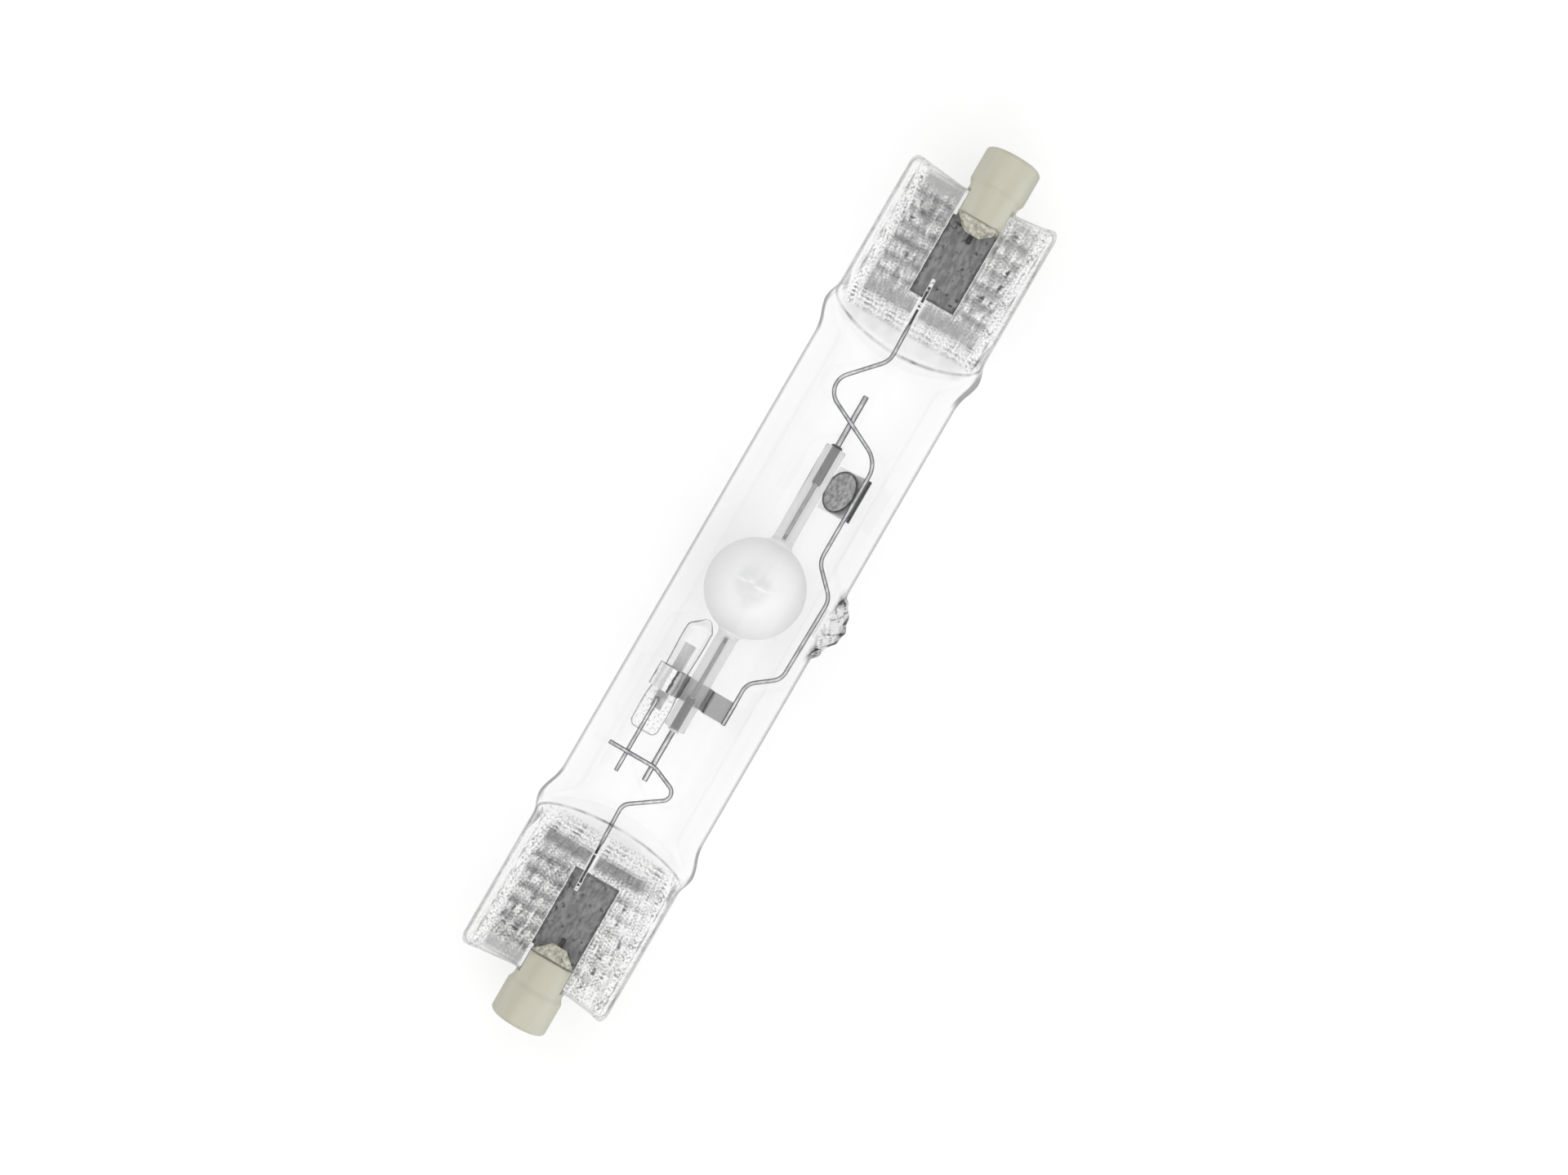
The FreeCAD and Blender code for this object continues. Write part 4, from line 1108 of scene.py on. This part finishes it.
def make_aid():
    """Small quartz capsule: one pressed end, one melted tip."""
    length = aid_right_x - aid_left_x
    foot = 10.7
    hollow_start, hollow_end = 1.5, foot - 0.9

    def half_width(s):
        width = curve_through([(0, 0.0), (0.04, 0.3), (0.2, 0.5), (0.8, 1.1), (1.15, 1.44), (1.4, 1.58),
                               (1.7, 1.6), (foot - 1.6, 1.6), (foot, 1.8), (length, 1.8)], s)
        return width - corner_loss(s, length, 0.8)

    def half_height(s, y):
        width = np.maximum(half_width(s), 1e-6)
        softness, edge_round = 0.15, 0.3
        slab = 0.75 + softness * np.logaddexp(0, (foot - s) * 1.73 / softness)
        past = np.clip((s - (length - edge_round)) / edge_round, 0, 1)
        slab = slab + 0.04 * lumps(s, y, 0.5, 95)
        return soft_least(arch(y, width, np.minimum(width, aid_radius)), slab, 7.0) * np.sqrt(1 - past ** 2)

    def hollow_width(s):
        room = np.clip(np.minimum((s - hollow_start) / 0.9, (hollow_end - s) / 0.7), 0, 1)
        return np.sqrt(1 - (1 - room) ** 2)

    def hollow_height(s, y):
        width = np.maximum(hollow_width(s), 1e-6)
        return arch(y, width, width)

    stations = np.concatenate([np.linspace(0, 1, 12) ** 2 * 1.7, np.arange(1.95, foot - 1.8, 0.5),
                               np.arange(foot - 1.8, length - 0.35, 0.16), closing_in(length, 0.3, 6)])
    outer = pressed_rings(stations, half_width, half_height, 96)
    stations = np.concatenate([hollow_start + 0.9 * (1 - np.cos(np.linspace(0, math.pi / 2, 9))),
                               np.arange(2.7, 9.0, 0.6), closing_in(hollow_end, 0.7, 9)])
    inner = pressed_rings(stations, hollow_width, hollow_height, 64)
    shells, frosted, edge = [], [], []
    for rings, outward in ((outer, True), (inner, False)):
        s = rings[..., 0]
        frosted.append(outward * rise(s, foot - 1.2, foot).ravel())
        edge.append(np.full(s.size, float(outward)))
        rings[..., 1] -= 0.42 * rise(1.9 - s, 0, 1.9) * outward
        shells.append(skin(rings * (-1, 1, 1) + (aid_right_x, aid_y, aid_z), outward=outward))
    frosted, edge = np.concatenate(frosted), np.concatenate(edge)
    marks = (1 + 0.2 * frosted, 0.05 * frosted, 0.4 * frosted, edge, 0.98 - 0.08 * edge,
             np.ones_like(edge), np.zeros_like(edge))
    add_piece("starting_aid_glass", ["starting_aid_capsule"], capsule_quartz, shells,
              marks=dict(zip(glass_marks, marks)))


# Getter

def make_getter():
    """Pressed pellet in a shallow cup, on the slanting leg of its holder."""
    radius, thickness = 2.65, 0.5
    sheet_half, gap, fold_height, leg_length = 0.075, 0.02, 0.45, 6.05
    cup = [(0, 0), (0, radius), (thickness - 0.02, radius), (thickness, radius - 0.04),
           (thickness, radius - 0.12), (thickness - 0.14, radius - 0.2)]
    face = [(thickness - 0.1, r) for r in np.linspace(radius - 0.3, 0, 26)]
    points, quads = lathed(cup + face)
    x, y, z = points.T
    spread = np.hypot(y, z)
    rough = 0.05 * lumps(y, z, 0.4, 101) + 0.03 * lumps(y, z, 0.17, 102)
    x += (x > thickness - 0.12) * (spread < radius - 0.25) * rough
    # A near-black ring over the cup's lip and the groove inside it: painted shade in the gap between the pellet
    # and the cup.
    rim = rise(spread, radius - 0.25, radius - 0.15) * rise(x, 0.2, 0.35)
    angle = math.radians(48.0)
    down = np.array([0, math.cos(angle), -math.sin(angle)])
    out = np.array([0, math.sin(angle), math.cos(angle)])
    fold = (0, frame_wire_y, wire_z) - out * (wire_radius + sheet_half + gap) - down * fold_height
    place = fold + down * (leg_length - radius) + out * sheet_half + (getter_x, 0, 0)
    points = y[:, None] * (1.0, 0, 0) + z[:, None] * down + x[:, None] * out + place
    add_piece("getter_pellet", ["getter"], getter_metal,
              [(points, facing(points, quads))], 45, {"rim": rim})


def finish_cad_nodes():
    """Better materials for the CAD nodes that stay."""
    kept = {"strap": strap_steel_painted_light, "getter_holder": holder_steel_painted_light, "starting_aid_foil": aid_foil_metal,
            "halide_dose": salts}
    for name, _ in ends:
        kept["feedthrough_" + name] = feedthrough_metal
        kept["electrode_" + name] = tungsten
    for name, material in kept.items():
        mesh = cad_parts[name].data
        mesh.materials.clear()
        mesh.materials.append(material)


# Studio

def make_floor():
    """Pale paper that keeps the lamp's shadow, and runs out to plain white."""
    reach = 1.2
    mesh = new_mesh("floor", [(-reach, -reach, 0), (reach, -reach, 0), (reach, reach, 0), (-reach, reach, 0)],
                    [(0, 1, 2, 3)])
    floor = new_object("floor", mesh)
    floor.location.z = cad_bounds[0].z - 0.0001
    material, net, shader = new_material("floor")
    spread = net.add("VectorMath", {0: net.place()}, operation="LENGTH").outputs["Value"]
    away = net.ramp(spread, 0.08, 0.3, interpolation_type="SMOOTHSTEP")
    paper = net.ramp(net.noise(0.2, 4.0), 0.3, 0.7, 0.655, 0.665)
    path = net.add("LightPath").outputs
    seen = net.most(net.most(path["Is Camera Ray"], path["Is Glossy Ray"]), path["Is Transmission Ray"])
    net.fill(shader, {"Base Color": net.grey(net.mixed_value(away, paper, 0.0)), "Roughness": 1.0,
                      "Specular IOR Level": 0.0, "Emission Color": (1, 1, 1, 1),
                      "Emission Strength": net.times(seen, net.mixed_value(away, 0.37, 1.0))})
    mesh.materials.append(material)


def make_light():
    world = bpy.data.worlds.new("studio")
    scene.world = world
    net = NodeNet(world)
    up = net.add("SeparateXYZ", {0: net.add("TexCoord").outputs["Generated"]}).outputs[2]
    glow = net.ramp(up, 0.0, 0.7, 0.42, 0.78)
    level = net.most(glow, net.add("LightPath").outputs["Is Camera Ray"])
    net.fill(net.tree.nodes["Background"], {"Strength": level, "Color": (1, 1, 1, 1)})
    for place, size, power in (((-0.3, -0.35, 0.75), 1.0, 2.5), ((0.4, 0.35, 0.8), 1.2, 1.5)):
        lamp = bpy.data.lights.new("softbox", "AREA")
        lamp.shape, lamp.size, lamp.energy = "SQUARE", size, power
        holder = new_object("softbox", lamp)
        holder.location = place
        holder.rotation_euler = (-Vector(place)).to_track_quat("-Z", "Y").to_euler()


def make_camera():
    """Straight above, turned so that the lamp leans as in the photograph."""
    height, shift, turn = 300, 2.92, math.radians(-59.94)
    camera = bpy.data.cameras.new("camera")
    camera.lens, camera.sensor_width, camera.clip_start = 58.3, 36.0, 0.01
    holder = new_object("camera", camera)
    right = np.array([math.cos(turn), math.sin(turn), 0])
    holder.location = (tube_axis + shift * right + (0, 0, height)) * mm
    holder.rotation_euler = (0, 0, turn)
    scene.camera = holder


make_camera()
make_light()
make_floor()
make_envelope()
for end_name, end_side in ends:
    make_cap(end_name, end_side)
    make_cement(end_name)
    make_foil(end_name, end_side)
make_wires()
make_arc_tube()
for end_name, end_side in ends:
    make_frit(end_name, end_side)
    make_coil(end_name, end_side)
make_aid()
make_getter()
finish_cad_nodes()
scene.view_settings.view_transform = "Standard"

# Glass inside glass: a view through the lamp crosses a dozen surfaces, and so does its light
scene.cycles.transparent_max_bounces = 40
scene.cycles.transmission_bounces = 20
scene.cycles.max_bounces = 24
